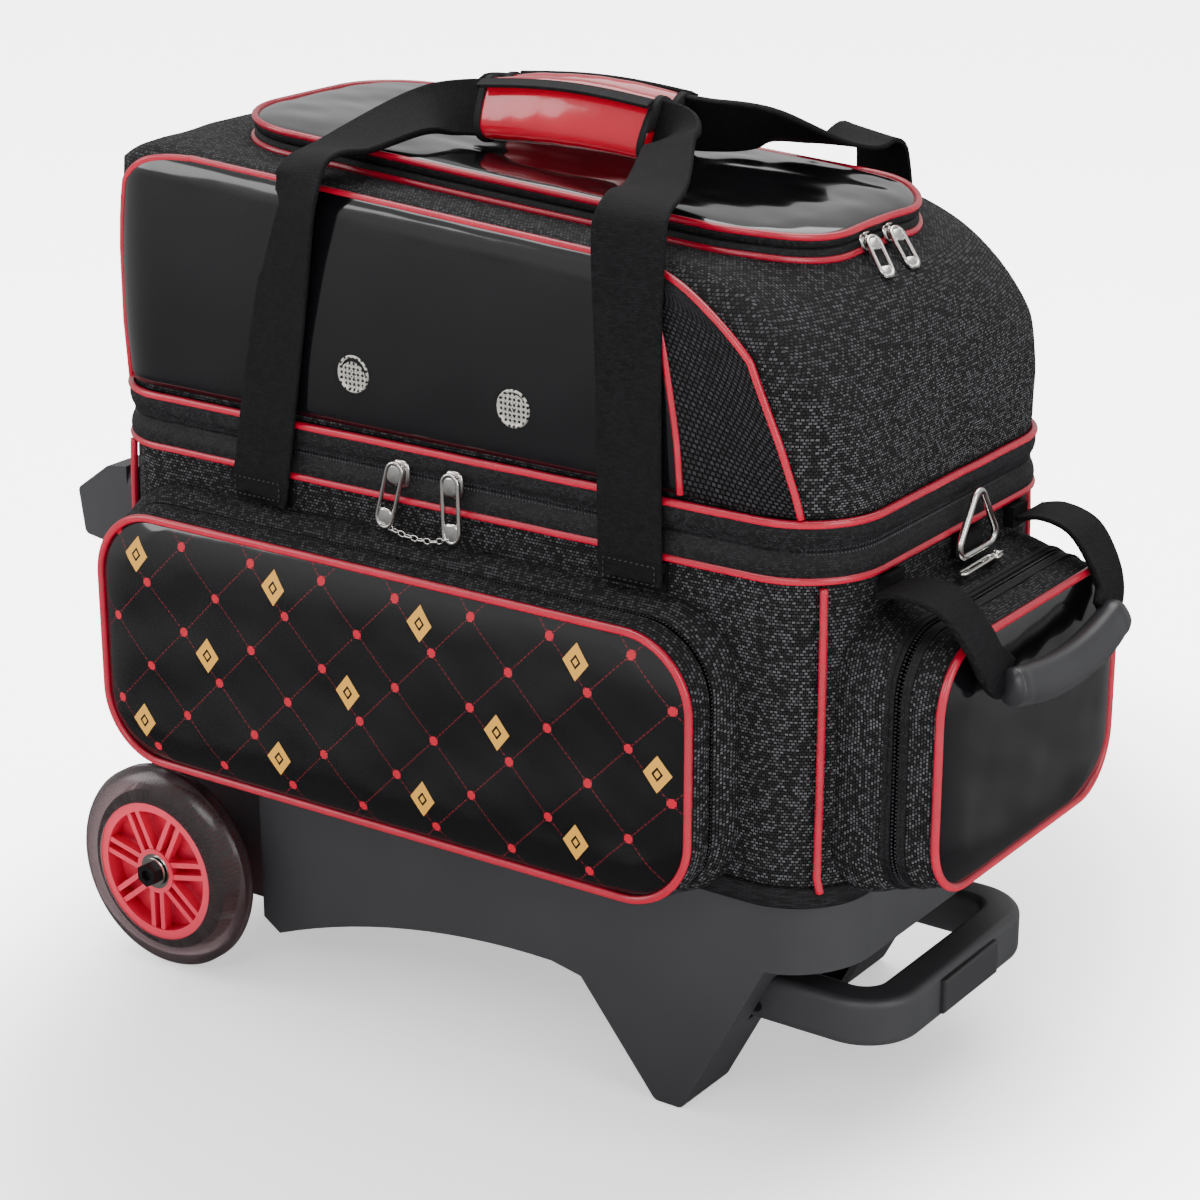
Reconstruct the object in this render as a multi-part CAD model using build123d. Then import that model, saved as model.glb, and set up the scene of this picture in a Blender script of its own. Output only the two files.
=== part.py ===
from build123d import *
import os
from math import atan2, cos, pi, sin, sqrt

# Two-ball bowling bag on wheels, in millimetres. +X is the pull-handle end, -Y the front, +Z up.
# It is drawn about the middle of the fabric body and moved at the end, so that the origin is the
# middle of the finished bag's footprint, on the floor.

# ---- what the bag is sized for ----
BALL_D = 216.0               # regulation bowling ball
WHEEL_D = 127.0              # 5 inch wheel
BALL_PLAY = 14.0             # room around each ball, along and across the bag
WALL = 4.0                   # padded fabric wall
DIVIDER_T = 6.0
FIT = 0.3                    # gap between neighbours that only lie beside each other

# ---- fabric body ----
BODY_L = 2 * (BALL_D + BALL_PLAY) + DIVIDER_T + 6 * WALL
BODY_D = BALL_D + BALL_PLAY + 4 * WALL
BODY_R = 45.0                # corner radius seen from above
TUB_Z = 144.0                # underside of the tub, on the deck
TUB_H = 181.0
FLOOR_T = 3.0                # tub floor
ZIP_H = 30.0                 # zip band between its two pipings
LID_H_LEFT = 146.0           # lid wall above the zip band, at the wheel end
ROOF_SLOPE = 0.062           # the roof falls towards the handle end
LID_R_LEFT = 40.0
LID_R_RIGHT = 90.0
ZIP_GAP = 0.6                # between the lower and the upper zip tape
PIPE_R = 2.2                 # piping cord
BINDING_H = 10.0
BINDING_T = 1.5
SKIN_T = 1.2                 # patent panel sewn over the lid wall
BOARD_T = 6.0
CUP_H = 40.0
CUP_R = 78.0
CUP_BASE = 15.0              # foam under the ball
PATENT = ((-230.0, 6.0), (136.0, 6.0), (120.0, 114.6), (-205.0, 133.8), (-228.0, 114.8))
MESH = ((142.0, 6.0), (215.0, 6.0), (203.0, 60.0), (180.0, 90.0), (150.0, 107.0), (128.0, 108.8))
SKIN_END = 6.0               # the panels stop this far round the corners
VENT_X = (-54.0, 53.0)
VENT_UP = 35.0               # above the zip band
VENT_R = 10.5
VENT_T = 2.2

# ---- shoe compartment in the roof ----
FLAP_L = 380.0
FLAP_D = 160.0
FLAP_X = 5.0                 # middle of the flap
FLAP_R = 52.0
FLAP_T = 7.0
SHOE_ZIP_H = 6.0
SHOE_ZIP_W = 7.0
SHOE_FLOOR_T = 3.0

# ---- base moulding ----
BASE_D = 224.0
BASE_R = 40.0
BASE_T = 4.0
DECK_T = 4.0
SKIRT_X = -148.0             # wheel-end edge of the skirts
LEG_T = 46.0                 # legs, across the bag
LIP_T = 18.0                 # turned-in lip of the skirts elsewhere
HOUSING_D = 196.0
HOUSING_Z = 40.0
ARCH_LOW = (-136.0, 28.0)
ARCH_MID = (-40.0, 57.0)
ARCH_TOP = (64.0, 66.0)
ARCH_FLAT = 20.0             # from the top of the arch to the leg's brow
ARCH_DROP = 4.0
ARCH_NOTCH = 8.0             # upright edge above the low end of the arch
FOOT_X = (134.0, 152.0)
FOOT_ROUND = 5.0
HIP = (203.0, 98.0)          # where the leg meets the shallow end skirt
END_SKIRT_Z = 103.0

# ---- wheels ----
WHEEL_X = -204.0
WHEEL_W = 26.0
WHEEL_IN = 120.0             # inner face of each wheel from the middle
TREAD_FLAT = 6.0
SHOULDER = 16.0              # height of the tyre's rounded shoulder
SHOULDER_CUT = 4.2           # how far its middle falls inside the corner
CORE_R = 43.6
CORE_RING = 5.6
FLANGE_R = 50.0              # notched flange that the tyre is cast on
FLANGE_W = 10.0
NOTCHES = 16
NOTCH_R = 3.4
SPOKES = 7
SPOKE_W = 3.2
SPOKE_GAP = 4.4
SPOKE_T = 6.0
BARREL_R = 14.0
BEARING_D = 22.0
BEARING_W = 7.0
AXLE_D = 8.0
AXLE_FIT = 0.05
WASHER_R = 9.0
WASHER_T = 1.5
HEX_AF = 13.0
HEX_T = 5.5
BOSS_R = 17.0
BOSS_GAP = 2.0               # between each boss and its wheel
HUB_IN = 1.0                 # hub faces inside the tyre's faces
WEB_HALF = 1.5
SPOKE_IN = 0.5               # spoke faces inside the hub's faces
SPACER_R = 6.0

# ---- pull handle ----
ARM_Y = 77.0                 # middle of each arm
ARM_Z = 68.0
TUBE = 22.0                  # outside of the fixed sleeve
TUBE_T = 1.2
TUBE_FIT = 0.3
SLEEVE_X = (-225.0, 162.0)
BRACKET_X = (-170.0, -60.0, 60.0, 145.0)
BRACKET_L = 12.0
BRACKET_T = 3.0
MID_X0 = -215.0
INNER_X0 = -205.0
BAR_X = (164.6, 267.0)       # arms start, outer end
TUBE_SEAT = 41.0             # how far each inner tube goes into its arm
BAR_W = 22.0
BAR_H = 28.0
BAR_R = 34.0
BAR_ROUND = 5.0
CHANNEL = 17.0               # hollow of the bar, closed by its cover
CHANNEL_X = 40.0             # where it starts, from the end of the arms
CHANNEL_ROOF = 4.0
COVER_Z = (0.5, 3.0)         # from the underside of the bar
COVER_W = 16.6
SOCKET_FIT = 1.0
BUTTON_L = 62.0
BUTTON_H = 20.0
BUTTON_PROUD = 3.0
BUTTON_T = 3.0               # walls of the cap
ROD_R = 2.5
SCREW_R = 3.2
SCREW_AT = (20.0, 5.2)       # along the arm, and above and below its middle
SCREW_IN = 2.5
SCREW_PROUD = 0.6
ROD_Y = 74.0                 # push rods, inside the inner tubes
SPRING_OUT = 15.0
SPRING_IN = 12.0
SPRING_END = 232.7
COLLAR_T = 3.0
COLLAR_R = 6.5
YOKE_X = (253.0, 255.0)
YOKE_H = 12.0
YOKE_IN = 7.0                # its ends inside the hollow of the bar
LOCK_X = -185.0              # far end of the push rods

# ---- front pocket ----
FP_X = (-225.0, 180.0)
FP_Z = (142.0, 291.0)
FP_R = 40.0
FP_OUT = 29.5                # how far its panel stands off the tub
FP_SPREAD = 10.0             # the gusset is wider where it is sewn on
GUSSET_T = 3.0
PANEL_T = 3.0
ZIP_LINE = 0.55              # share of the depth behind the pocket's zip

# ---- end pocket ----
EP_Y = 100.0
EP_Z = (158.0, 292.0)
EP_R = 34.0
EP_OUT = 50.0
EP_DROP = 13.0               # the gusset is taller where it is sewn on
EP_RISE = 10.4
EP_SPREAD = 3.0
POCKET_BACK = 13.0           # the gussets start this far inside the wall, and are cut to it

# ---- carry handles ----
WEB_W = 40.0
WEB_T = 2.5
WEB_Y = 5.2                  # inner face of the webbing, off the body wall
STRAP_BOTTOM_X = (-123.5, 128.0)
STRAP_TOP_X = (-90.0, 126.0)
GRIP_Y = 30.0
GRIP_R = 14.0
GRIP_X = (-34.0, 78.0)
CORE_BAR_R = 7.0
LOOP_BEND = (26.0, 14.0)     # first bend of the loop, in from and above its sewn end

# ---- end grab handle ----
GRAB_Y = 60.0
GRAB_R = 12.0
GRAB_ROUND = 3.0
GRAB_WEB_W = 34.0
GRAB_SEAT = (10.0, 18.0)     # end of the strap, in from and above the grip's middle
GRAB_FOLD = (6.0, -8.0, 20.0)   # the strap folded round the grip: out, down and up
GRAB_LEAN = 1.5

# ---- wheel-end plate and bumpers ----
PLATE_T = 4.0
PLATE_Y = 104.0
PLATE_Z = (110.0, 300.0)
PLATE_ROUND = 14.0
BUMPER_Y = (78.0, 104.0)
BUMPER_SIDE = ((0.0, 246.0), (0.0, 299.0), (15.0, 297.0), (40.0, 279.0), (36.0, 251.0))
BUMPER_ROUND = 4.0

# ---- zip pulls and ring ----
SLIDER = (11.0, 5.0, 17.0)
PULL_X = (-24.0, 12.0)
PULL_L = 40.0
PULL_W = 9.0
PULL_T = 1.6
CHAIN_R = 1.2
CHAIN_UP = 3.0               # above the lower ends of the two tabs
SHOE_SLIDER = (4.5, 10.0)
SHOE_PULL_Y = (-18.0, 6.0)
SHOE_PULL_L = 24.0
SHOE_PULL_TURN = 55.0        # the tabs lie on the lid's rounded end
POCKET_PULL_Y = (-18.0, 20.0)
POCKET_PULL_W = 5.0
POCKET_SLIDER = (9.0, 5.0)
POCKET_PULL_UP = 1.5
SIDE_SLIDER = (4.0, 4.0, 12.0)
RING_W = 50.0
RING_H = 38.0
RING_Y = 12.0
RING_WIRE = 2.0
RING_ROUND = 6.0
RING_TAB_W = 22.0
TAB_DOWN = 3.0               # sewn tabs reach this far below what they carry
TAB_UNDER = 4.0              # and stop this far under the zip band

HALF_L = BODY_L / 2
HALF_D = BODY_D / 2
ZIP_Z = TUB_Z + TUB_H
SPLIT_Z = ZIP_Z + ZIP_H / 2
LID_Z = ZIP_Z + ZIP_H
ROOF_Z = LID_Z + LID_H_LEFT - ROOF_SLOPE * HALF_L
BASE_L = BODY_L
GRAB_PIVOT = (HALF_L + 7, ZIP_Z - 12.5)
GRAB_AT = (HALF_L + 70, ZIP_Z - 54)
GRAB_BEND = (HALF_L + 46, ZIP_Z - 14)
POCKET_PULL_X = HALF_L + 15
RING_AT = (HALF_L + 10, ZIP_Z - 14)
PATCH_Z = (ZIP_Z - 19, ZIP_Z - 3)
SHOULDER_Z = ROOF_Z + 4.19
GRIP_Z = ROOF_Z + 36.19
SHOE_FLOOR_Z = LID_Z + 43
AXLE_Z = WHEEL_D / 2
MIRRORED = (-1, 1)
MID_TUBE = TUBE - 2 * TUBE_T - 2 * TUBE_FIT
INNER_TUBE = MID_TUBE - 2 * TUBE_T - 2 * TUBE_FIT
INNER_X1 = BAR_X[0] + TUBE_SEAT

nodes = {}


# ------------------------------------------------------------------ helpers
def plan(half_x, half_y, radius, grow=0.0):
    """A rounded rectangle seen from above, grown outwards by grow."""
    return RectangleRounded(2 * (half_x + grow), 2 * (half_y + grow), max(radius + grow, 1.0))


def slab(sketch, z_low, z_high):
    return Pos(0, 0, z_low) * extrude(sketch, z_high - z_low)


def body_ring(z_low, z_high, grow_out=0.0, thick=WALL):
    outer = plan(HALF_L, HALF_D, BODY_R, grow_out)
    return slab(outer - plan(HALF_L, HALF_D, BODY_R, grow_out - thick), z_low, z_high)


def block(x, y, z):
    """A box between two corners, each axis given as (low, high)."""
    low = (min(x), min(y), min(z))
    size = (abs(x[1] - x[0]), abs(y[1] - y[0]), abs(z[1] - z[0]))
    return Pos(*low) * Box(*size, align=(Align.MIN, Align.MIN, Align.MIN))


def rod(start, end, radius):
    """A round bar from start to end."""
    way = Vector(*end) - Vector(*start)
    return extrude(Plane(origin=start, z_dir=way) * Circle(radius), way.length)


def side_prism(outline, half_y):
    """Extrudes an XZ outline to both sides of the middle."""
    return extrude(Plane.XZ * outline, half_y, both=True)


def side_slice(outline, y_low, y_high):
    """Extrudes an XZ outline from y_low to y_high."""
    return Pos(0, y_high, 0) * extrude(Plane.XZ * outline, y_high - y_low)


def outline(points):
    return make_face(Polyline(*points, close=True))


def put(name, *solids):
    """Files the solids of one node."""
    flat = []
    for item in solids:
        flat.extend(item.solids())
    nodes[name] = flat


def both_sides(solid):
    """The solid and its mirror image behind the bag."""
    return [solid, mirror(solid, Plane.XZ)]


def wheel_disc(radius, low, high, side):
    """A disc about the axle, between two distances from the middle of the bag."""
    return rod((WHEEL_X, side * low, AXLE_Z), (WHEEL_X, side * high, AXLE_Z), radius)


def arm_block(x_low, x_high, width, height, side):
    """A box about the middle line of one arm of the pull handle."""
    middle = side * ARM_Y
    across = (middle - width / 2, middle + width / 2)
    return block((x_low, x_high), across, (ARM_Z - height / 2, ARM_Z + height / 2))


# ------------------------------------------------------------------ base
def skirt_outline(inset):
    """Side outline of the skirt: arch, leg, foot and shallow end, drawn in by inset."""
    left = SKIRT_X + inset
    right = BASE_L / 2 - inset
    lift = inset * 1.1
    top = TUB_Z - inset
    notch = (left, ARCH_LOW[1] + lift + ARCH_NOTCH)
    arch = [(x, z + lift) for x, z in (ARCH_LOW, ARCH_MID, ARCH_TOP)]
    brow = (ARCH_TOP[0] + ARCH_FLAT + inset, ARCH_TOP[1] - ARCH_DROP + lift)
    foot = (FOOT_X[0] + inset / 2, inset), (FOOT_X[1] - inset / 2, inset)
    hip = (HIP[0] - inset, HIP[1] + inset)
    end = (right, END_SKIRT_Z + inset)
    return make_face([
        Line((left, top), notch),
        Line(notch, arch[0]),
        ThreePointArc(*arch),
        Polyline(arch[2], brow, *foot, hip, end, (right, top), (left, top)),
    ])


def base_tray():
    half_d = BASE_D / 2
    deck_plan = plan(BASE_L / 2, half_d, BASE_R)
    body = side_prism(skirt_outline(0.0), half_d) & slab(deck_plan, -1, TUB_Z)
    foot_edges = body.edges().filter_by(Axis.Y).sort_by(Axis.Z)[:2]
    body = fillet(foot_edges, FOOT_ROUND)
    hollow = side_prism(skirt_outline(BASE_T), half_d - BASE_T)
    hollow = hollow & slab(plan(BASE_L / 2, half_d, BASE_R, -BASE_T), -1, TUB_Z - DECK_T)
    body -= hollow
    lip_half = half_d - LIP_T
    deck_z = TUB_Z - DECK_T
    body -= block((SKIRT_X + BASE_T, ARCH_TOP[0] + ARCH_FLAT), (-lip_half, lip_half), (-1, deck_z))
    leg_half = half_d - LEG_T
    body -= block((ARCH_TOP[0], BASE_L / 2 - BASE_T), (-leg_half, leg_half), (-1, END_SKIRT_Z))
    housing_half = HOUSING_D / 2
    housing = block((-BASE_L / 2, SKIRT_X + BASE_T), (-housing_half, housing_half), (HOUSING_Z, TUB_Z))
    housing -= block(
        (-BASE_L / 2 + BASE_T, SKIRT_X + 2 * BASE_T),
        (-housing_half + BASE_T, housing_half - BASE_T),
        (HOUSING_Z - 1, TUB_Z - DECK_T),
    )
    body += housing
    wheel_end = block((-BASE_L, SKIRT_X + 1), (-half_d, half_d), (0, TUB_Z))
    body += slab(deck_plan, deck_z, TUB_Z) & wheel_end
    for side in MIRRORED:
        inner, outer = housing_half - BASE_T, WHEEL_IN - BOSS_GAP
        body += wheel_disc(BOSS_R, housing_half - 1, outer, side)
        body -= wheel_disc(AXLE_D / 2 + AXLE_FIT, inner - 1, outer + 1, side)
        body -= arm_block(ARCH_TOP[0], BASE_L / 2, BAR_W + 2 * SOCKET_FIT, BAR_H + 2 * SOCKET_FIT, side)
        body -= arm_block(SKIRT_X - 1, SKIRT_X + 3 * BASE_T, TUBE, TUBE, side)
    return body


def sleeve_brackets():
    """Straps that hang the handle sleeves from the deck."""
    parts = []
    for x_at in BRACKET_X:
        for side in MIRRORED:
            hanger = arm_block(x_at, x_at + BRACKET_L, TUBE + 2 * BRACKET_T, TUBE + 2 * BRACKET_T, side)
            middle = side * ARM_Y
            reach = TUBE / 2 + BRACKET_T
            across = (middle - reach, middle + reach)
            hanger += block((x_at, x_at + BRACKET_L), across, (ARM_Z, TUB_Z - DECK_T))
            parts.append(hanger - arm_block(x_at - 1, x_at + BRACKET_L + 1, TUBE, TUBE, side))
    return parts


def square_tube(x_low, x_high, outside, side):
    inside = outside - 2 * TUBE_T
    tube = arm_block(x_low, x_high, outside, outside, side)
    return tube - arm_block(x_low - 1, x_high + 1, inside, inside, side)


# ------------------------------------------------------------------ wheels
def hex_bolt(side):
    """Axle bolt with its head outside the wheel and a nut inside the housing."""
    head_in = WHEEL_IN + WHEEL_W + WASHER_T
    nut_out = HOUSING_D / 2 - BASE_T
    shank = rod((WHEEL_X, side * (nut_out - HEX_T), AXLE_Z), (WHEEL_X, side * head_in, AXLE_Z), AXLE_D / 2)
    across_corners = HEX_AF / sqrt(3)
    facing = Plane(origin=(WHEEL_X, side * head_in, AXLE_Z), z_dir=(0, side, 0))
    head = extrude(facing * RegularPolygon(across_corners, 6), HEX_T)
    facing = Plane(origin=(WHEEL_X, side * (head_in + HEX_T), AXLE_Z), z_dir=(0, -side, 0))
    head -= extrude(facing * RegularPolygon(across_corners / 2, 6), HEX_T / 2)
    facing = Plane(origin=(WHEEL_X, side * nut_out, AXLE_Z), z_dir=(0, -side, 0))
    nut = extrude(facing * RegularPolygon(across_corners, 6), HEX_T)
    return shank + head + nut


def axle_spacers(side):
    """Washer under the bolt head, tube between the bearings, and collar on the boss."""
    face = WHEEL_IN + WHEEL_W
    spans = (
        (face, face + WASHER_T, WASHER_R),
        (WHEEL_IN + BEARING_W + HUB_IN, face - BEARING_W - HUB_IN, SPACER_R),
        (WHEEL_IN - BOSS_GAP, WHEEL_IN + HUB_IN, SPACER_R),
    )
    parts = []
    for low, high, radius in spans:
        start, end = (WHEEL_X, side * low, AXLE_Z), (WHEEL_X, side * high, AXLE_Z)
        parts.append(rod(start, end, radius) - rod(start, end, AXLE_D / 2 + AXLE_FIT))
    return parts


def bearing_spans():
    """Where the two bearings lie, from the middle of the bag."""
    inner = WHEEL_IN + HUB_IN
    outer = WHEEL_IN + WHEEL_W - HUB_IN
    return (inner, inner + BEARING_W), (outer - BEARING_W, outer)


def wheel_hub(side):
    """Rim, notched flange, thin web, seven twin spokes and bearing barrel, moulded in one."""
    face = WHEEL_IN + WHEEL_W
    middle = WHEEL_IN + WHEEL_W / 2
    flange = (middle - FLANGE_W / 2, middle + FLANGE_W / 2)
    hub = wheel_disc(CORE_R, WHEEL_IN + HUB_IN, face - HUB_IN, side)
    hub += wheel_disc(FLANGE_R, flange[0], flange[1], side)
    for notch in range(NOTCHES):
        turn = 2 * pi * notch / NOTCHES
        at = (CORE_R + NOTCH_R) * cos(turn), (CORE_R + NOTCH_R) * sin(turn)
        hub -= rod(
            (WHEEL_X + at[0], side * (flange[0] - 1), AXLE_Z + at[1]),
            (WHEEL_X + at[0], side * (flange[1] + 1), AXLE_Z + at[1]),
            NOTCH_R,
        )
    hub -= wheel_disc(CORE_R - CORE_RING, WHEEL_IN, face, side)
    hub += wheel_disc(CORE_R - CORE_RING + 1, middle - WEB_HALF, middle + WEB_HALF, side)
    hub += wheel_disc(BARREL_R, WHEEL_IN + HUB_IN, face - HUB_IN, side)
    reach = CORE_R - CORE_RING / 2
    outside = face - HUB_IN - SPOKE_IN
    for spoke in range(SPOKES):
        turn = 360.0 * spoke / SPOKES + 90.0
        for offset_z in (-1, 1):
            z_mid = offset_z * (SPOKE_GAP + SPOKE_W) / 2
            bar = block(
                (BARREL_R - 2, reach),
                (side * (outside - SPOKE_T), side * outside),
                (z_mid - SPOKE_W / 2, z_mid + SPOKE_W / 2),
            )
            hub += Pos(WHEEL_X, 0, AXLE_Z) * Rot(0, turn, 0) * bar
    for low, high in bearing_spans():
        hub -= wheel_disc(BEARING_D / 2, low, high, side)
    return hub - wheel_disc(SPACER_R + 1, WHEEL_IN, face, side)


def wheel_bearings(side):
    parts = []
    for low, high in bearing_spans():
        race = wheel_disc(BEARING_D / 2, low, high, side)
        parts.append(race - wheel_disc(AXLE_D / 2 + AXLE_FIT, low, high, side))
    return parts


def tyre(side):
    """A cast tyre with rounded shoulders, closed over the hub's notched flange."""
    middle = WHEEL_IN + WHEEL_W / 2
    half = WHEEL_W / 2
    radius = WHEEL_D / 2
    low, bend = radius - SHOULDER, (radius - SHOULDER_CUT, half - SHOULDER_CUT)
    tread = (radius, TREAD_FLAT / 2)
    groove = FLANGE_W / 2
    section = [
        ThreePointArc((low, -half), (bend[0], -bend[1]), (tread[0], -tread[1])),
        Line((tread[0], -tread[1]), tread),
        ThreePointArc(tread, bend, (low, half)),
        Polyline((low, half), (CORE_R, half), (CORE_R, groove), (FLANGE_R, groove),
                 (FLANGE_R, -groove), (CORE_R, -groove), (CORE_R, -half), (low, -half)),
    ]
    around = revolve(make_face(section), Axis.Y)
    return Pos(WHEEL_X, side * middle, AXLE_Z) * around


# ------------------------------------------------------------------ pull handle
def bar_outline(grow):
    """Plan of the U-shaped bar, closed across its open end."""
    half = ARM_Y + BAR_W / 2 + grow
    end = BAR_X[1] + grow
    face = Rectangle(end - BAR_X[0], 2 * half, align=(Align.MIN, Align.CENTER))
    corners = face.vertices().sort_by(Axis.X)[-2:]
    return Pos(BAR_X[0], 0) * fillet(corners, BAR_R + grow)


def bar_band(width):
    """The U of the bar seen from above, as a band of the given width along its middle line."""
    inner = bar_outline(-BAR_W / 2 - width / 2)
    outer = bar_outline(-BAR_W / 2 + width / 2)
    return outer - (Pos(-1, 0) * inner + Pos(-BAR_W, 0) * inner)


def bar_channel(width):
    """Plan of the hollow in the underside of the bar, or of its cover."""
    start = Pos(BAR_X[0] + CHANNEL_X, 0) * Rectangle(BASE_L, BASE_L, align=(Align.MIN, Align.CENTER))
    return bar_band(width) & start


def pull_bar():
    low, high = ARM_Z - BAR_H / 2, ARM_Z + BAR_H / 2
    bar = slab(bar_band(BAR_W), low, high)
    bar = fillet(bar.edges().filter_by(Plane.XY), BAR_ROUND)
    bar -= slab(bar_channel(CHANNEL), low, high - CHANNEL_ROOF)
    for side in MIRRORED:
        bar -= arm_block(0, INNER_X1, INNER_TUBE, INNER_TUBE, side)
    window = BUTTON_L / 2 + FIT
    tall = BUTTON_H / 2 + FIT
    deep = BUTTON_PROUD + 1
    return bar - block((BAR_X[1] - deep, BAR_X[1] + 1), (-window, window), (ARM_Z - tall, ARM_Z + tall))


def release_button():
    half = BUTTON_L / 2
    tall = BUTTON_H / 2
    cap = block((YOKE_X[1], BAR_X[1] + BUTTON_PROUD), (-half, half), (ARM_Z - tall, ARM_Z + tall))
    half -= BUTTON_T
    tall -= BUTTON_T
    cap -= block((YOKE_X[1] - 1, BAR_X[1]), (-half, half), (ARM_Z - tall, ARM_Z + tall))
    return fillet(cap.faces().sort_by(Axis.X)[-1].edges(), BUTTON_T / 2)


def release_yoke():
    """Plate behind the button with a push rod and a spring collar in each arm."""
    plate = block(YOKE_X, (-ARM_Y, ARM_Y), (ARM_Z - YOKE_H / 2, ARM_Z + YOKE_H / 2))
    plate &= slab(bar_outline(YOKE_IN - BAR_W / 2), 0, TUB_Z)
    for side in MIRRORED:
        plate += rod((LOCK_X, side * ROD_Y, ARM_Z), (YOKE_X[1], side * ROD_Y, ARM_Z), ROD_R)
        start = SPRING_END + FIT
        plate += rod((start, side * ARM_Y, ARM_Z), (start + COLLAR_T, side * ARM_Y, ARM_Z), COLLAR_R)
    return plate


def button_spring(side):
    start = (INNER_X1 + FIT, side * ARM_Y, ARM_Z)
    end = (SPRING_END, side * ARM_Y, ARM_Z)
    return rod(start, end, SPRING_OUT / 2) - rod(start, end, SPRING_IN / 2)


def bar_screws(side):
    """Two screws through the side of one arm into its tube."""
    outer = side * (ARM_Y + BAR_W / 2)
    x_at = BAR_X[0] + SCREW_AT[0]
    screws = []
    for z_at in (ARM_Z - SCREW_AT[1], ARM_Z + SCREW_AT[1]):
        start = (x_at, outer - side * SCREW_IN, z_at)
        screws.append(rod(start, (x_at, outer + side * SCREW_PROUD, z_at), SCREW_R))
    return screws


# ------------------------------------------------------------------ tub and lid
def tub():
    outer = slab(plan(HALF_L, HALF_D, BODY_R), TUB_Z, ZIP_Z)
    return outer - slab(plan(HALF_L, HALF_D, BODY_R, -WALL), TUB_Z + FLOOR_T, ZIP_Z + 1)


def ball_cup(side):
    """Foam ring with a ball-shaped hollow."""
    half_room = (BALL_D + BALL_PLAY) / 2
    middle = side * (DIVIDER_T / 2 + half_room + WALL)
    low = TUB_Z + FLOOR_T + BOARD_T
    cup = Pos(middle, 0, low) * Cylinder(CUP_R, CUP_H, align=(Align.CENTER, Align.CENTER, Align.MIN))
    return cup - Pos(middle, 0, low + CUP_BASE + BALL_D / 2) * Sphere(BALL_D / 2)


def divider():
    half = HALF_D - WALL - FIT
    return block((-DIVIDER_T / 2, DIVIDER_T / 2), (-half, half), (TUB_Z + FLOOR_T + BOARD_T, ZIP_Z))


def piping_ring(sketch, z_at):
    """A cord laid round a closed outline at one height."""
    path = Pos(0, 0, z_at) * sketch.faces()[0].outer_wire()
    start = path.edges().sort_by(Axis.Y)[0]
    section = Plane(origin=start @ 0.5, z_dir=start % 0.5) * Circle(PIPE_R)
    return sweep(section, path=path)


def corner_point(side_x, side_y, out):
    turn = (BODY_R + out) / sqrt(2)
    return side_x * (HALF_L - BODY_R + turn), side_y * (HALF_D - BODY_R + turn)


def lid_block(inset):
    """The lid's outer form: plan, side and end outlines intersected, drawn in by inset."""
    x_half = HALF_L - inset
    base = LID_Z
    roof = ROOF_Z - inset
    rise = ROOF_SLOPE * x_half
    face = outline([(-x_half, base), (-x_half, roof + rise), (x_half, roof - rise), (x_half, base)])
    corners = face.vertices().sort_by(Axis.Y)[-2:].sort_by(Axis.X)
    face = fillet(corners[0], LID_R_LEFT - inset)
    corner = face.vertices().sort_by(Axis.X)[-2:].sort_by(Axis.Y)[-1]
    face = fillet(corner, LID_R_RIGHT - inset)
    return side_prism(face, HALF_D - inset) & slab(plan(HALF_L, HALF_D, BODY_R, -inset), base, 2 * base)


def roof_plane(lift):
    """A plane on the roof slope, lifted along its normal above the middle of the flap."""
    turn = atan2(ROOF_SLOPE, 1.0)
    normal = Vector(sin(turn), 0, cos(turn))
    origin = Vector(FLAP_X, 0, ROOF_Z - ROOF_SLOPE * FLAP_X) + normal * lift
    return Plane(origin=origin, x_dir=(cos(turn), 0, -sin(turn)), z_dir=normal)


def flap_plan(grow):
    return RectangleRounded(FLAP_L + 2 * grow, FLAP_D + 2 * grow, FLAP_R + grow)


def lid_shell(whole):
    shell = whole - (lid_block(WALL) + slab(plan(HALF_L, HALF_D, BODY_R, -WALL), LID_Z, LID_Z + 1))
    hole = extrude(roof_plane(-3 * WALL) * flap_plan(-SHOE_ZIP_W), 4 * WALL)
    return shell - hole


def shoe_floor():
    sheet = slab(plan(HALF_L, HALF_D, BODY_R, -WALL - FIT), SHOE_FLOOR_Z, SHOE_FLOOR_Z + SHOE_FLOOR_T)
    return sheet & lid_block(WALL + FIT)


def skin(whole, panel):
    """A thin layer over the front and back lid walls, cut to an XZ outline."""
    layer = (lid_block(-SKIN_T) - whole) & side_prism(panel, HALF_D + 2 * SKIN_T)
    ends = HALF_D - SKIN_END
    return layer - block((-BODY_L, BODY_L), (-ends, ends), (0, 2 * LID_Z))


# ------------------------------------------------------------------ pockets
def front_pocket_face(out, grow):
    """The front pocket's outline at a distance out from the tub wall, grown by grow."""
    share = 1 - out / FP_OUT
    x_low, x_high = FP_X[0], FP_X[1] + FP_SPREAD * share
    z_low, z_high = FP_Z[0], FP_Z[1] + FP_SPREAD * share
    plane = Plane(origin=((x_low + x_high) / 2, -HALF_D - out, (z_low + z_high) / 2),
                  x_dir=(1, 0, 0), z_dir=(0, -1, 0))
    return plane * RectangleRounded(x_high - x_low + 2 * grow, z_high - z_low + 2 * grow, FP_R + grow)


def end_pocket_face(out, grow):
    """The end pocket's outline at a distance out from the tub wall, grown by grow."""
    share = 1 - out / EP_OUT
    z_low, z_high = EP_Z[0] - EP_DROP * share, EP_Z[1] + EP_RISE * share
    half = EP_Y + EP_SPREAD * share
    plane = Plane(origin=(HALF_L + out, 0, (z_low + z_high) / 2), x_dir=(0, 1, 0), z_dir=(1, 0, 0))
    return plane * RectangleRounded(2 * half + 2 * grow, z_high - z_low + 2 * grow, EP_R + grow)


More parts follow.
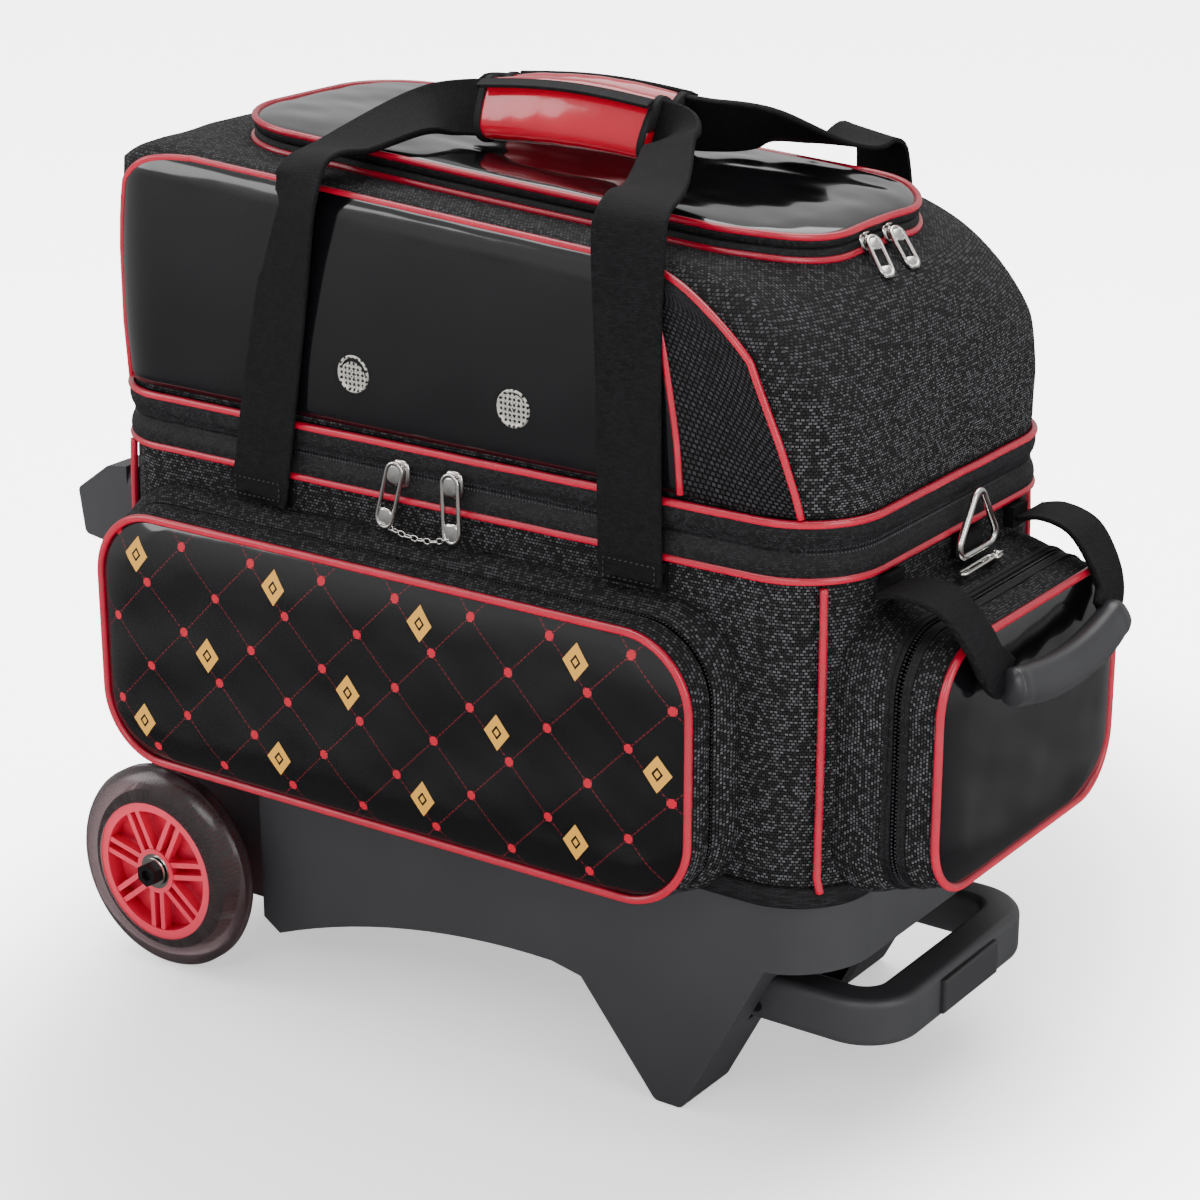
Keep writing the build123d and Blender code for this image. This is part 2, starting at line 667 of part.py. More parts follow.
def gusset(face_at, near, far, thick):
    """The tapering fabric wall of a pocket between two distances from the tub."""
    outer = loft([face_at(near, 0.0), face_at(far, 0.0)])
    return outer - loft([face_at(near, -thick), face_at(far, -thick)])


def pocket_back(face_at, zip_out, space):
    """The sewn half of a pocket's gusset, carried back to the rounded body wall."""
    return gusset(face_at, -POCKET_BACK, zip_out - FIT, GUSSET_T) - space


def frame_piping(face_at, out):
    """Piping cord round a pocket panel."""
    wire = face_at(out, FIT).faces()[0].outer_wire()
    edge = wire.edges().sort_by(SortBy.LENGTH)[-1]
    section = Plane(origin=edge @ 0.5, z_dir=edge % 0.5) * Circle(PIPE_R)
    return sweep(section, path=wire)


# ------------------------------------------------------------------ handles
def lower_straps(side, z_low):
    """Two webbing strips in front of the body wall, leaning in towards the grip."""
    y_in = side * (HALF_D + WEB_Y)
    y_out = side * (HALF_D + WEB_Y + WEB_T)
    parts = []
    for x_low, x_high in zip(STRAP_BOTTOM_X, STRAP_TOP_X):
        share = (z_low - PATCH_Z[1]) / (SHOULDER_Z - PATCH_Z[1])
        x_start = x_low + (x_high - x_low) * share
        half = WEB_W / 2
        shape = outline([
            (x_start - half, z_low),
            (x_start + half, z_low),
            (x_high + half, SHOULDER_Z - FIT),
            (x_high - half, SHOULDER_Z - FIT),
        ])
        parts.append(side_slice(shape, min(y_in, y_out), max(y_in, y_out)))
    return parts


def upper_loop(side):
    """Webbing over the shoulder to the grip, the rolled webbing along the top, and the wrap."""
    y_shoulder = side * (HALF_D + WEB_Y + WEB_T)
    y_grip = side * (GRIP_Y + CORE_BAR_R)
    parts = []
    for x_at in STRAP_TOP_X:
        points = [
            (y_shoulder, SHOULDER_Z),
            (y_shoulder - side * LOOP_BEND[0], SHOULDER_Z + LOOP_BEND[1]),
            (y_grip, GRIP_Z - WEB_T / 2),
        ]
        shape = outline(points + [(y, z + WEB_T) for y, z in reversed(points)])
        parts.append(Pos(x_at, 0, 0) * extrude(Plane.YZ * shape, WEB_W / 2, both=True))
    start = (STRAP_TOP_X[0] - WEB_W / 2, side * GRIP_Y, GRIP_Z)
    end = (STRAP_TOP_X[1] + WEB_W / 2, side * GRIP_Y, GRIP_Z)
    bar = rod(start, end, CORE_BAR_R)
    wrap = rod((GRIP_X[0], side * GRIP_Y, GRIP_Z), (GRIP_X[1], side * GRIP_Y, GRIP_Z), GRIP_R)
    return parts[0] + parts[1] + bar + wrap


def grab_straps():
    parts = []
    for side in MIRRORED:
        points = [
            (GRAB_PIVOT[0], GRAB_PIVOT[1] + 1),
            GRAB_BEND,
            (GRAB_AT[0] - GRAB_SEAT[0], GRAB_AT[1] + GRAB_SEAT[1]),
        ]
        shape = outline(points + [(x + GRAB_LEAN, z + WEB_T) for x, z in reversed(points)])
        middle = side * (GRAB_Y + FIT + GRAB_WEB_W / 2)
        strap = Pos(0, middle, 0) * extrude(Plane.XZ * shape, GRAB_WEB_W / 2, both=True)
        fold = block(
            (GRAB_AT[0] - GRAB_SEAT[0], GRAB_AT[0] + GRAB_FOLD[0]),
            (middle - GRAB_WEB_W / 2, middle + GRAB_WEB_W / 2),
            (GRAB_AT[1] + GRAB_FOLD[1], GRAB_AT[1] + GRAB_FOLD[2]),
        )
        parts.append(strap + fold)
    return parts


def grab_grip():
    grip = rod((GRAB_AT[0], -GRAB_Y, GRAB_AT[1]), (GRAB_AT[0], GRAB_Y, GRAB_AT[1]), GRAB_R)
    return fillet(grip.edges(), GRAB_ROUND)


def anchors():
    """Sewn ends of the webbing, flat on the tub wall."""
    parts = []
    half = WEB_W / 2
    for side in MIRRORED:
        for x_at in STRAP_BOTTOM_X:
            y_low, y_high = side * (HALF_D + FIT), side * (HALF_D + FIT + WEB_T)
            patch = block((x_at - half, x_at + half), (y_low, y_high), PATCH_Z)
            fold = (y_low, side * (HALF_D + WEB_Y + WEB_T))
            patch += block((x_at - half, x_at + half), fold, (PATCH_Z[1] - 2 * WEB_T, PATCH_Z[1]))
            parts.append(patch)
    reach = (HALF_L + FIT, GRAB_PIVOT[0] - FIT)
    for side in MIRRORED:
        across = (side * (GRAB_Y + FIT), side * (HALF_D - BODY_R - 1))
        parts.append(block(reach, across, (GRAB_PIVOT[1] - TAB_DOWN, ZIP_Z - TAB_UNDER)))
    return parts


# ------------------------------------------------------------------ zip pulls and ring
def pull_tab(top, length, width):
    """A slotted tab hanging from top, in the XZ plane."""
    x_at, y_at, z_at = top
    tab = block((x_at - width / 2, x_at + width / 2), (y_at - PULL_T / 2, y_at + PULL_T / 2),
                (z_at - length, z_at))
    slot = block((x_at - width / 5, x_at + width / 5), (y_at - PULL_T, y_at + PULL_T),
                 (z_at - length * 0.8, z_at - length * 0.35))
    return tab - slot


def triangle_ring():
    """A triangular ring of round wire standing on its tab."""
    x_at, z_at = RING_AT
    points = [
        (RING_Y - RING_W / 2, z_at),
        (RING_Y + RING_W / 2, z_at),
        (RING_Y, z_at + RING_H),
    ]
    path = Plane(origin=(x_at, 0, 0), x_dir=(0, 1, 0), z_dir=(1, 0, 0)) * FilletPolyline(
        *points, radius=RING_ROUND, close=True)
    edge = path.edges().sort_by(SortBy.LENGTH)[-1]
    section = Plane(origin=edge @ 0.5, z_dir=edge % 0.5) * Circle(RING_WIRE)
    return sweep(section, path=path.wires()[0])


# ================================================================== base and axles
put("base_tray", base_tray())
put("sleeve_brackets", *sleeve_brackets())
put("handle_sleeves", *[square_tube(*SLEEVE_X, TUBE, side) for side in MIRRORED])
put("axle_bolts", *[hex_bolt(side) for side in MIRRORED])
put("axle_spacers", *[part for side in MIRRORED for part in axle_spacers(side)])
plate = block((-HALF_L - PLATE_T, -HALF_L), (-PLATE_Y, PLATE_Y), PLATE_Z)
put("end_plate", fillet(plate.edges().filter_by(Axis.X), PLATE_ROUND))
bumper = outline([(-HALF_L - PLATE_T - out, z_at) for out, z_at in BUMPER_SIDE])
bumper = fillet(bumper.vertices().sort_by(Axis.X)[:3], BUMPER_ROUND)
put("end_bumpers", *both_sides(side_slice(bumper, -BUMPER_Y[1], -BUMPER_Y[0])))

# ================================================================== wheels
for side, place in zip(MIRRORED, ("front", "back")):
    put("tyre_" + place, tyre(side))
    put("wheel_hub_" + place, wheel_hub(side))
    put("wheel_bearings_" + place, *wheel_bearings(side))

# ================================================================== pull handle
put("mid_tubes", *[square_tube(MID_X0, SLEEVE_X[1] + 1, MID_TUBE, side) for side in MIRRORED])
put("inner_tubes", *[square_tube(INNER_X0, INNER_X1, INNER_TUBE, side) for side in MIRRORED])
screws = bar_screws(-1) + bar_screws(1)
put("pull_bar", pull_bar() - (screws[0] + screws[1] + screws[2] + screws[3]))
cover_low = ARM_Z - BAR_H / 2
put("pull_bar_cover", slab(bar_channel(COVER_W), cover_low + COVER_Z[0], cover_low + COVER_Z[1]))
put("pull_bar_screws", *screws)
put("release_button", release_button())
put("release_yoke", release_yoke())
put("button_springs", *[button_spring(side) for side in MIRRORED])

# ================================================================== tub
tub_solid = tub()
put("bag_tub", tub_solid)
board_plan = plan(HALF_L, HALF_D, BODY_R, -WALL - FIT)
board = slab(board_plan, TUB_Z + FLOOR_T, TUB_Z + FLOOR_T + BOARD_T)
put("base_board", board)
put("ball_cup_left", ball_cup(-1))
put("ball_cup_right", ball_cup(1))
put("ball_divider", divider())
plate_space = block((-BODY_L, -HALF_L + BODY_R), (-PLATE_Y - FIT, PLATE_Y + FIT), (0, LID_Z))
put("bottom_binding", body_ring(TUB_Z, TUB_Z + BINDING_H, FIT + BINDING_T, BINDING_T) - plate_space)
put("lower_zip_tape", body_ring(ZIP_Z, SPLIT_Z - ZIP_GAP / 2))
pipe_plan = plan(HALF_L, HALF_D, BODY_R, PIPE_R + FIT)
cords = [piping_ring(pipe_plan, ZIP_Z)]
for side_x in MIRRORED:
    for side_y in MIRRORED:
        x_at, y_at = corner_point(side_x, side_y, PIPE_R + FIT)
        low = TUB_Z + BINDING_H + FIT
        cords.append(rod((x_at, y_at, low), (x_at, y_at, ZIP_Z - PIPE_R - FIT), PIPE_R))
put("body_piping", *cords)
tub_space = slab(plan(HALF_L, HALF_D, BODY_R, FIT), 0, LID_Z)
binding_space = slab(plan(HALF_L, HALF_D, BODY_R, 2 * FIT + BINDING_T), 0, TUB_Z + BINDING_H + FIT)
wall_space = tub_space + binding_space
fp_zip = ZIP_LINE * FP_OUT
ep_zip = ZIP_LINE * EP_OUT
put("front_pocket_gusset", pocket_back(front_pocket_face, fp_zip, wall_space))
put("end_pocket_gusset", pocket_back(end_pocket_face, ep_zip, wall_space))
put("strap_anchors", *anchors())

# ================================================================== lid
whole = lid_block(0.0)
put("upper_zip_tape", body_ring(SPLIT_Z + ZIP_GAP / 2, LID_Z))
put("upper_piping", piping_ring(pipe_plan, LID_Z))
put("lid_shell", lid_shell(whole))
put("shoe_floor", shoe_floor())
for name, corners in (("lid_panels", PATENT), ("lid_mesh_panels", MESH)):
    put(name, skin(whole, outline([(x_at, LID_Z + up) for x_at, up in corners])))
rim = extrude(roof_plane(0.0) * (flap_plan(0.0) - flap_plan(-SHOE_ZIP_W)), SHOE_ZIP_H)
put("shoe_zip_tape", rim)
put("shoe_flap", extrude(roof_plane(SHOE_ZIP_H + FIT) * flap_plan(0.0), FLAP_T))
vents = []
for x_at in VENT_X:
    y_at = -(HALF_D + SKIN_T)
    disc = rod((x_at, y_at, LID_Z + VENT_UP), (x_at, y_at - VENT_T, LID_Z + VENT_UP), VENT_R)
    vents.extend(both_sides(fillet(disc.edges().sort_by(Axis.Y)[0], VENT_T / 2 - 0.1)))
put("vents", *vents)

# ================================================================== pocket covers
cover = gusset(front_pocket_face, fp_zip + FIT, FP_OUT - PANEL_T, GUSSET_T)
put("front_pocket_cover", cover)
put("front_pocket_panel", loft([front_pocket_face(FP_OUT - PANEL_T, 0), front_pocket_face(FP_OUT, 0)]))
put("front_pocket_piping", frame_piping(front_pocket_face, FP_OUT + PIPE_R + FIT))
cover = gusset(end_pocket_face, ep_zip + FIT, EP_OUT - PANEL_T, GUSSET_T)
put("end_pocket_cover", cover)
put("end_pocket_panel", loft([end_pocket_face(EP_OUT - PANEL_T, 0), end_pocket_face(EP_OUT, 0)]))
put("end_pocket_piping", frame_piping(end_pocket_face, EP_OUT + PIPE_R + FIT))

# ================================================================== handles
put("front_straps", *lower_straps(-1, PATCH_Z[1] + FIT))
put("front_grip", upper_loop(-1))
put("back_straps", *lower_straps(1, SPLIT_Z + 4))
put("back_grip", upper_loop(1))
put("grab_straps", *grab_straps())
put("grab_grip", grab_grip())

# ================================================================== zip pulls and ring
slider_y = -(HALF_D + FIT + SLIDER[1])
tab_y = slider_y - FIT - PULL_T / 2
tab_z = SPLIT_Z + SLIDER[2] / 2
sliders = []
for x_at in PULL_X:
    across = (x_at - SLIDER[0] / 2, x_at + SLIDER[0] / 2)
    sliders.append(block(across, (slider_y, slider_y + SLIDER[1]), (tab_z - SLIDER[2], tab_z)))
tabs = [pull_tab((x_at, tab_y, tab_z), PULL_L, PULL_W) for x_at in PULL_X]
chain_z = tab_z - PULL_L + CHAIN_UP
chain_x = (PULL_X[0] + PULL_W / 2, PULL_X[1] - PULL_W / 2)
chain = rod((chain_x[0], tab_y, chain_z), (chain_x[1], tab_y, chain_z), CHAIN_R)
put("main_pulls", tabs[0] + tabs[1] + chain)
half_pull = POCKET_PULL_W / 2
across = (POCKET_PULL_X - half_pull, POCKET_PULL_X + half_pull)
seat_z = end_pocket_face(across[0] - HALF_L, 0).bounding_box().max.Z + FIT
seat_y = POCKET_PULL_Y[1] + FIT
sliders.append(block(across, (seat_y, seat_y + POCKET_SLIDER[0]), (seat_z, seat_z + POCKET_SLIDER[1])))
left = FP_X[0] - FIT
slide_y = -HALF_D - fp_zip - 1
height = (FP_Z[0] + FP_Z[1]) / 2
slide_y = (slide_y - SIDE_SLIDER[1], slide_y)
sliders.append(block((left - SIDE_SLIDER[0], left), slide_y, (height, height + SIDE_SLIDER[2])))
put("zip_sliders", *sliders)
pull_z = seat_z + POCKET_PULL_UP
put("pocket_pull", block(across, POCKET_PULL_Y, (pull_z, pull_z + PULL_T)))
shoe_sliders = []
shoe_pulls = []
on_seat = (Align.MIN, Align.CENTER, Align.MIN)
hanging = (Align.MIN, Align.CENTER, Align.MAX)
for y_at in SHOE_PULL_Y:
    seat = roof_plane(0.0) * Pos(FLAP_L / 2 + FIT, y_at, 0)
    shoe_sliders.append(seat * Box(*SHOE_SLIDER, SHOE_ZIP_H, align=on_seat))
    tab = Rot(0, -SHOE_PULL_TURN, 0) * Box(PULL_T, PULL_W - 1, SHOE_PULL_L, align=hanging)
    shoe_pulls.append(seat * Pos(SHOE_SLIDER[0] + FIT, 0, SHOE_ZIP_H) * tab)
put("shoe_sliders", *shoe_sliders)
put("shoe_pulls", *shoe_pulls)
tab_x = (HALF_L + FIT, RING_AT[0] - RING_WIRE - FIT)
tab_y = (RING_Y - RING_TAB_W / 2, RING_Y + RING_TAB_W / 2)
put("ring_tab", block(tab_x, tab_y, (RING_AT[1] - TAB_DOWN, ZIP_Z - TAB_UNDER)))
put("triangle_ring", triangle_ring())

# ------------------------------------------------------------------ origin and files
boxes = [solid.bounding_box() for solids in nodes.values() for solid in solids]
middle_x = (min(box.min.X for box in boxes) + max(box.max.X for box in boxes)) / 2
middle_y = (min(box.min.Y for box in boxes) + max(box.max.Y for box in boxes)) / 2
lowest = min(box.min.Z for box in boxes)
to_origin = Pos(-middle_x, -middle_y, -lowest)
os.makedirs("parts", exist_ok=True)
for name, solids in nodes.items():
    moved = [to_origin * solid for solid in solids]
    export_step(Compound(children=moved) if len(moved) > 1 else moved[0], "parts/" + name + ".step")
print("origin shift", round(-middle_x, 3), round(-middle_y, 3), round(-lowest, 3))
print(len(nodes), "nodes")
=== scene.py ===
"""Two-ball bowling bag on wheels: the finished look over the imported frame, in metres.

Shapes are worked out in millimetres about the middle of the bag's fabric body, with +X towards the
pull handle, -Y the front and +Z up, and moved to the frame as their mesh is made.
"""

from math import pi, radians

import bmesh
import bpy
import numpy as np
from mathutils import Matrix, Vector


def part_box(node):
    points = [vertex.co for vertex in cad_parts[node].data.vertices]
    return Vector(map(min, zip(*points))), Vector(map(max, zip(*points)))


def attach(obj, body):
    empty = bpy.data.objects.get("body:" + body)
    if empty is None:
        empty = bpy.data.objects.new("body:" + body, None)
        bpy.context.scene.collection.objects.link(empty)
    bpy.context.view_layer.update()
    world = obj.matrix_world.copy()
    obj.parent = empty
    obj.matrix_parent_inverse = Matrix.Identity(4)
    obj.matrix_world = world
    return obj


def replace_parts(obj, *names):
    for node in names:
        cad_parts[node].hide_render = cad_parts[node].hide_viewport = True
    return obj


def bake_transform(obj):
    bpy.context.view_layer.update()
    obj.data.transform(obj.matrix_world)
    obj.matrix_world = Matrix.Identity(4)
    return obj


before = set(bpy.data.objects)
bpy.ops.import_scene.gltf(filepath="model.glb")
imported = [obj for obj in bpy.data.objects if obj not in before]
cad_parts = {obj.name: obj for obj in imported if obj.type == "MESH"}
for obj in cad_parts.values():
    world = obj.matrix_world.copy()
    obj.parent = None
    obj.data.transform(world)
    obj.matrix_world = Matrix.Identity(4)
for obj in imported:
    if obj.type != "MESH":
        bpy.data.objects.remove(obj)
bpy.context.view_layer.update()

# The body's plan: half its length and depth, its corner radius and the length round it.
TUB_LOW, TUB_HIGH = (np.array(corner) * 1000 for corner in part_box("bag_tub"))
MIDDLE = np.array([(TUB_LOW[0] + TUB_HIGH[0]) / 2, (TUB_LOW[1] + TUB_HIGH[1]) / 2, 0.0])
HALF_L = (TUB_HIGH[0] - TUB_LOW[0]) / 2
HALF_D = (TUB_HIGH[1] - TUB_LOW[1]) / 2
BODY_R = 45.0
ROUND_BODY = 1395.0
# Heights: the tub's floor and rim, the middle of the zip band, the lid's rim, and the roof at the
# middle with its fall per millimetre towards the pull handle.
TUB_Z = TUB_LOW[2]
ZIP_Z = TUB_HIGH[2]
SPLIT_Z = ZIP_Z + 15.0
LID_Z = ZIP_Z + 30.0
ROOF_Z = 485.8
SLOPE = 0.062
# The radius of the lid's long edges, and the shoe flap's middle, half sizes and corner radius.
EDGE_R = 17.0
FLAP_X, FLAP_L, FLAP_D, FLAP_R = 5.0, 190.0, 80.0, 52.0
FRONT, BACK = -1, 1


# ---------------------------------------------------------------- camera
def aim_camera():
    """From 34.5 degrees round to the right of the front, 19.7 degrees up and 1.86 m away, through a
    long lens."""
    turn, rise = radians(34.51), radians(19.66)
    data = bpy.data.cameras.new("camera")
    data.sensor_width = 36.0
    data.lens = 91.18
    data.clip_end = 50.0
    camera = bpy.data.objects.new("camera", data)
    bpy.context.scene.collection.objects.link(camera)
    camera.location = (np.array([957.44, -1363.28, 829.95]) + MIDDLE) / 1000
    camera.rotation_euler = (pi / 2 - rise, 0.0, turn)
    bpy.context.scene.camera = camera


aim_camera()


# ---------------------------------------------------------------- meshes
def mesh_piece(name, points, faces, body, material, smooth=True, uv=None):
    """A piece from points in bag millimetres, riding on a body."""
    mesh = bpy.data.meshes.new(name)
    points = (np.asarray(points, float).reshape(-1, 3) + MIDDLE) / 1000
    faces = np.asarray(faces, int)
    mesh.from_pydata(points.tolist(), [], faces.tolist())
    if uv is not None:
        layer = mesh.uv_layers.new(name="cloth")
        layer.data.foreach_set("uv", np.asarray(uv, np.float32).ravel())
    mesh.polygons.foreach_set("use_smooth", [smooth] * len(mesh.polygons))
    mesh.update()
    piece = bpy.data.objects.new(name, mesh)
    bpy.context.scene.collection.objects.link(piece)
    mesh.materials.append(material)
    if body:
        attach(piece, body)
    return piece


def grid_faces(rows, columns, wrap_rows=False, wrap_columns=False):
    """Quads of a grid, with its last row or column joined to its first where it wraps."""
    r = np.arange(rows if wrap_rows else rows - 1)
    c = np.arange(columns if wrap_columns else columns - 1)
    r, c = np.meshgrid(r, c, indexing="ij")
    r, c = r.ravel(), c.ravel()
    r1, c1 = (r + 1) % rows, (c + 1) % columns
    corners = np.stack([r * columns + c, r1 * columns + c, r1 * columns + c1, r * columns + c1], 1)
    return corners, np.stack([r, c], 1)


def grid_uv(points, cells):
    """Lengths along the grid's rows and columns, in metres, for each face corner."""
    down = np.linalg.norm(np.diff(points, axis=0, append=points[:1]), axis=2).mean(1)
    along = np.linalg.norm(np.diff(points, axis=1, append=points[:, :1]), axis=2).mean(0)
    down = np.concatenate([[0.0], np.cumsum(down)]) / 1000
    along = np.concatenate([[0.0], np.cumsum(along)]) / 1000
    r, c = cells[:, 0], cells[:, 1]
    corners = [(along[c], down[r]), (along[c], down[r + 1]),
               (along[c + 1], down[r + 1]), (along[c + 1], down[r])]
    return np.stack([np.stack(pair, 1) for pair in corners], 1)


def outward(piece):
    """Merges doubled points and turns every face outwards."""
    work = bmesh.new()
    work.from_mesh(piece.data)
    bmesh.ops.remove_doubles(work, verts=work.verts, dist=1e-5)
    bmesh.ops.dissolve_degenerate(work, edges=work.edges, dist=1e-6)
    bmesh.ops.recalc_face_normals(work, faces=work.faces)
    work.to_mesh(piece.data)
    work.free()
    piece.data.update()
    return piece


def surface(name, points, body, material, wrap_rows=False, wrap_columns=False, closed=False,
            flip=False):
    """A grid of points as one smooth surface; closed means that it encloses a volume."""
    points = np.asarray(points, float)
    faces, cells = grid_faces(points.shape[0], points.shape[1], wrap_rows, wrap_columns)
    uv = grid_uv(points, cells)
    if flip:
        faces, uv = faces[:, ::-1], uv[:, ::-1]
    piece = mesh_piece(name, points, faces, body, material, uv=uv)
    return outward(piece) if closed else piece


def thicken(piece, thickness):
    """Gives an open sheet its thickness in millimetres, inwards."""
    step = piece.modifiers.new("thickness", "SOLIDIFY")
    step.thickness = thickness / 1000
    step.offset = -1.0
    step.use_even_offset = True


def unit(v):
    """Each direction made one long."""
    return v / np.maximum(np.linalg.norm(v, axis=-1, keepdims=True), 1e-9)


def smooth_path(points, count):
    """A line through the given points: each span is a cubic whose slope at a point is half the step
    between its two neighbours, taken at even steps of length."""
    p = np.asarray(points, float)
    p = np.concatenate([2 * p[:1] - p[1:2], p, 2 * p[-1:] - p[-2:-1]])
    t = np.linspace(0, 1, 24, endpoint=False)[None, :, None]
    a, b, c, d = p[:-3, None], p[1:-2, None], p[2:-1, None], p[3:, None]
    cubic = (2 * a - 5 * b + 4 * c - d) * t ** 2 + (3 * b - a - 3 * c + d) * t ** 3
    line = 0.5 * (2 * b + (c - a) * t + cubic)
    return even(np.concatenate([line.reshape(-1, p.shape[1]), p[-2:-1]]), count)


def even(line, count, closed=False):
    """The same line at evenly spaced points along its length."""
    run = np.concatenate([[0.0], np.cumsum(np.linalg.norm(np.diff(line, axis=0), axis=1))])
    at = np.linspace(0, run[-1], count, endpoint=not closed)
    return np.stack([np.interp(at, run, line[:, k]) for k in range(line.shape[1])], 1)


def tangents(path, closed):
    """The direction along a path at each of its points."""
    if closed:
        return unit(np.roll(path, -1, 0) - np.roll(path, 1, 0))
    return unit(np.gradient(path, axis=0))


def sweep(name, path, section, facing, body, material, closed=False):
    """A closed section carried along a path: its first number is across, its second along facing.
    An open path's ends are closed by drawing the last section in to its middle."""
    path = np.asarray(path, float)
    along = tangents(path, closed)
    facing = np.broadcast_to(np.asarray(facing, float), path.shape)
    across = unit(np.cross(along, facing))
    up = unit(np.cross(across, along))
    section = np.broadcast_to(np.asarray(section, float), (len(path),) + np.asarray(section).shape[-2:])
    rings = path[:, None] + section[..., :1] * across[:, None] + section[..., 1:] * up[:, None]
    if not closed:
        rings = np.concatenate([np.broadcast_to(path[:1, None], rings[:1].shape), rings,
                                np.broadcast_to(path[-1:, None], rings[:1].shape)])
    return surface(name, rings, body, material, wrap_rows=closed, wrap_columns=True, closed=True)


def round_section(radius_a, radius_b, count, power=2.0):
    """A closed oval: cos and sin, each to the power 2 over the squareness, times its radius."""
    turn = np.linspace(0, 2 * pi, count, endpoint=False)
    c, s = np.cos(turn), np.sin(turn)
    a = np.sign(c) * np.abs(c) ** (2 / power) * radius_a
    b = np.sign(s) * np.abs(s) ** (2 / power) * radius_b
    return np.stack([a, b], 1)


def piped(name, path, radius, facing, body, closed=False):
    """A round piping cord along a path."""
    section = round_section(radius, radius, 12)
    return sweep(name, path, section, facing, body, piping, closed)


def webbing_section(width, thick):
    """A flat strip with thicker woven edges, as a closed line of points."""
    half, edge = width / 2, thick / 2
    x = np.array([-1, -0.97, -0.9, -0.5, 0, 0.5, 0.9, 0.97, 1.0]) * half
    y = np.array([0.3, 0.95, 0.85, 0.8, 0.8, 0.8, 0.85, 0.95, 0.3]) * edge
    return np.concatenate([np.stack([x, y], 1), np.stack([x[::-1], -y[::-1]], 1)])


def join_shapes(name, parts, body, material, smooth=True):
    """One piece from several (points, faces) shapes."""
    points, faces, shift = [], [], 0
    for p, f in parts:
        points.append(p.reshape(-1, 3))
        faces.append(np.asarray(f) + shift)
        shift += len(points[-1])
    return mesh_piece(name, np.concatenate(points), np.concatenate(faces), body, material, smooth)


def copies(points, faces, at, x_dir, y_dir, z_dir):
    """The same small shape at each place, turned to three directions."""
    all_points = (at[:, None] + points[None, :, :1] * x_dir[:, None]
                  + points[None, :, 1:2] * y_dir[:, None] + points[None, :, 2:] * z_dir[:, None])
    shift = (np.arange(len(at)) * len(points))[:, None, None]
    return all_points.reshape(-1, 3), (faces[None] + shift).reshape(-1, faces.shape[1])


def bead(size, power, rows, columns):
    """A closed rounded block: an oval section whose size follows a second oval from pole to pole."""
    rise = np.linspace(-pi / 2, pi / 2, rows)
    turn = np.linspace(0, 2 * pi, columns, endpoint=False)

    def bend(v):
        """A sine or cosine squared off by the power."""
        return np.sign(v) * np.abs(v) ** (2 / power)

    x = bend(np.cos(rise))[:, None] * bend(np.cos(turn))[None] * size[0] / 2
    y = bend(np.cos(rise))[:, None] * bend(np.sin(turn))[None] * size[1] / 2
    z = np.broadcast_to(bend(np.sin(rise))[:, None] * size[2] / 2, x.shape)
    return np.stack([x, y, z], -1).reshape(-1, 3), grid_faces(rows, columns, wrap_columns=True)[0]


def noise(u, v):
    """Smooth uneven values from -1 to 1: the mean of five sines that mix two lengths in mm."""
    mixes = ((0.031, 0.047, 0.9), (0.083, -0.029, 2.1), (-0.052, 0.097, 4.0), (0.127, 0.071, 0.3),
             (0.019, -0.113, 5.2))
    total = 0.0
    for a, b, shift in mixes:
        total = total + np.sin(a * u + b * v + shift + 0.8 * np.sin(0.023 * u - 0.037 * v + shift))
    return total / len(mixes)


# ---------------------------------------------------------------- materials
def linear(code):
    """An sRGB hex colour as linear light."""
    parts = [int(code[k:k + 2], 16) / 255 for k in (1, 3, 5)]
    return tuple(v / 12.92 if v <= 0.04045 else ((v + 0.055) / 1.055) ** 2.4 for v in parts) + (1.0,)


def add(tree, kind, settings=(), **links):
    """Adds a node. Settings are (name, value) pairs: an attribute, or an input by name or number.
    Links are given by input name, with _ for a space, or as i0, i1 for an input's number."""
    node = tree.nodes.new(kind)
    for key, value in dict(settings).items():
        if isinstance(key, str) and hasattr(node, key):
            setattr(node, key, value)
        else:
            node.inputs[key].default_value = value
    for key, source in links.items():
        numbered = key[0] == "i" and key[1:].isdigit()
        target = node.inputs[int(key[1:]) if numbered else key.replace("_", " ")]
        tree.links.new(source, target)
    return node


def finish_material(name, color, rough, metal=0.0, bump=None, depth=0.2, distance=0.001, **sockets):
    """A principled surface. The color, the roughness and any other input are a value, or a function
    that makes their nodes; bump is a function that gives a height."""
    material = bpy.data.materials.new(name)
    material.use_nodes = True
    tree = material.node_tree
    shader = tree.nodes["Principled BSDF"]
    makers = {"Metallic": metal, "Base Color": color, "Roughness": rough}
    makers |= {key.replace("_", " "): value for key, value in sockets.items()}
    for socket, value in makers.items():
        if callable(value):
            tree.links.new(value(tree), shader.inputs[socket])
        else:
            shader.inputs[socket].default_value = value
    if bump:
        node = add(tree, "ShaderNodeBump", {"Strength": depth, "Distance": distance}, Height=bump(tree))
        tree.links.new(node.outputs[0], shader.inputs["Normal"])
    return material


def where(tree, scale, cloth_map=False):
    """Position on the object, or along the piece's own cloth map, times a scale per metre."""
    source = add(tree, "ShaderNodeTexCoord").outputs["UV" if cloth_map else "Object"]
    return add(tree, "ShaderNodeMapping", {"Scale": scale}, Vector=source).outputs[0]


def every(millimetres):
    """The scale that makes a pattern repeat at this distance."""
    return (1000 / millimetres,) * 3


def cloud(tree, size, detail=2.0):
    """Uneven heights whose lumps are about this many mm across."""
    return add(tree, "ShaderNodeTexNoise", {"Scale": 1.0, "Detail": detail},
               Vector=where(tree, every(size))).outputs[0]


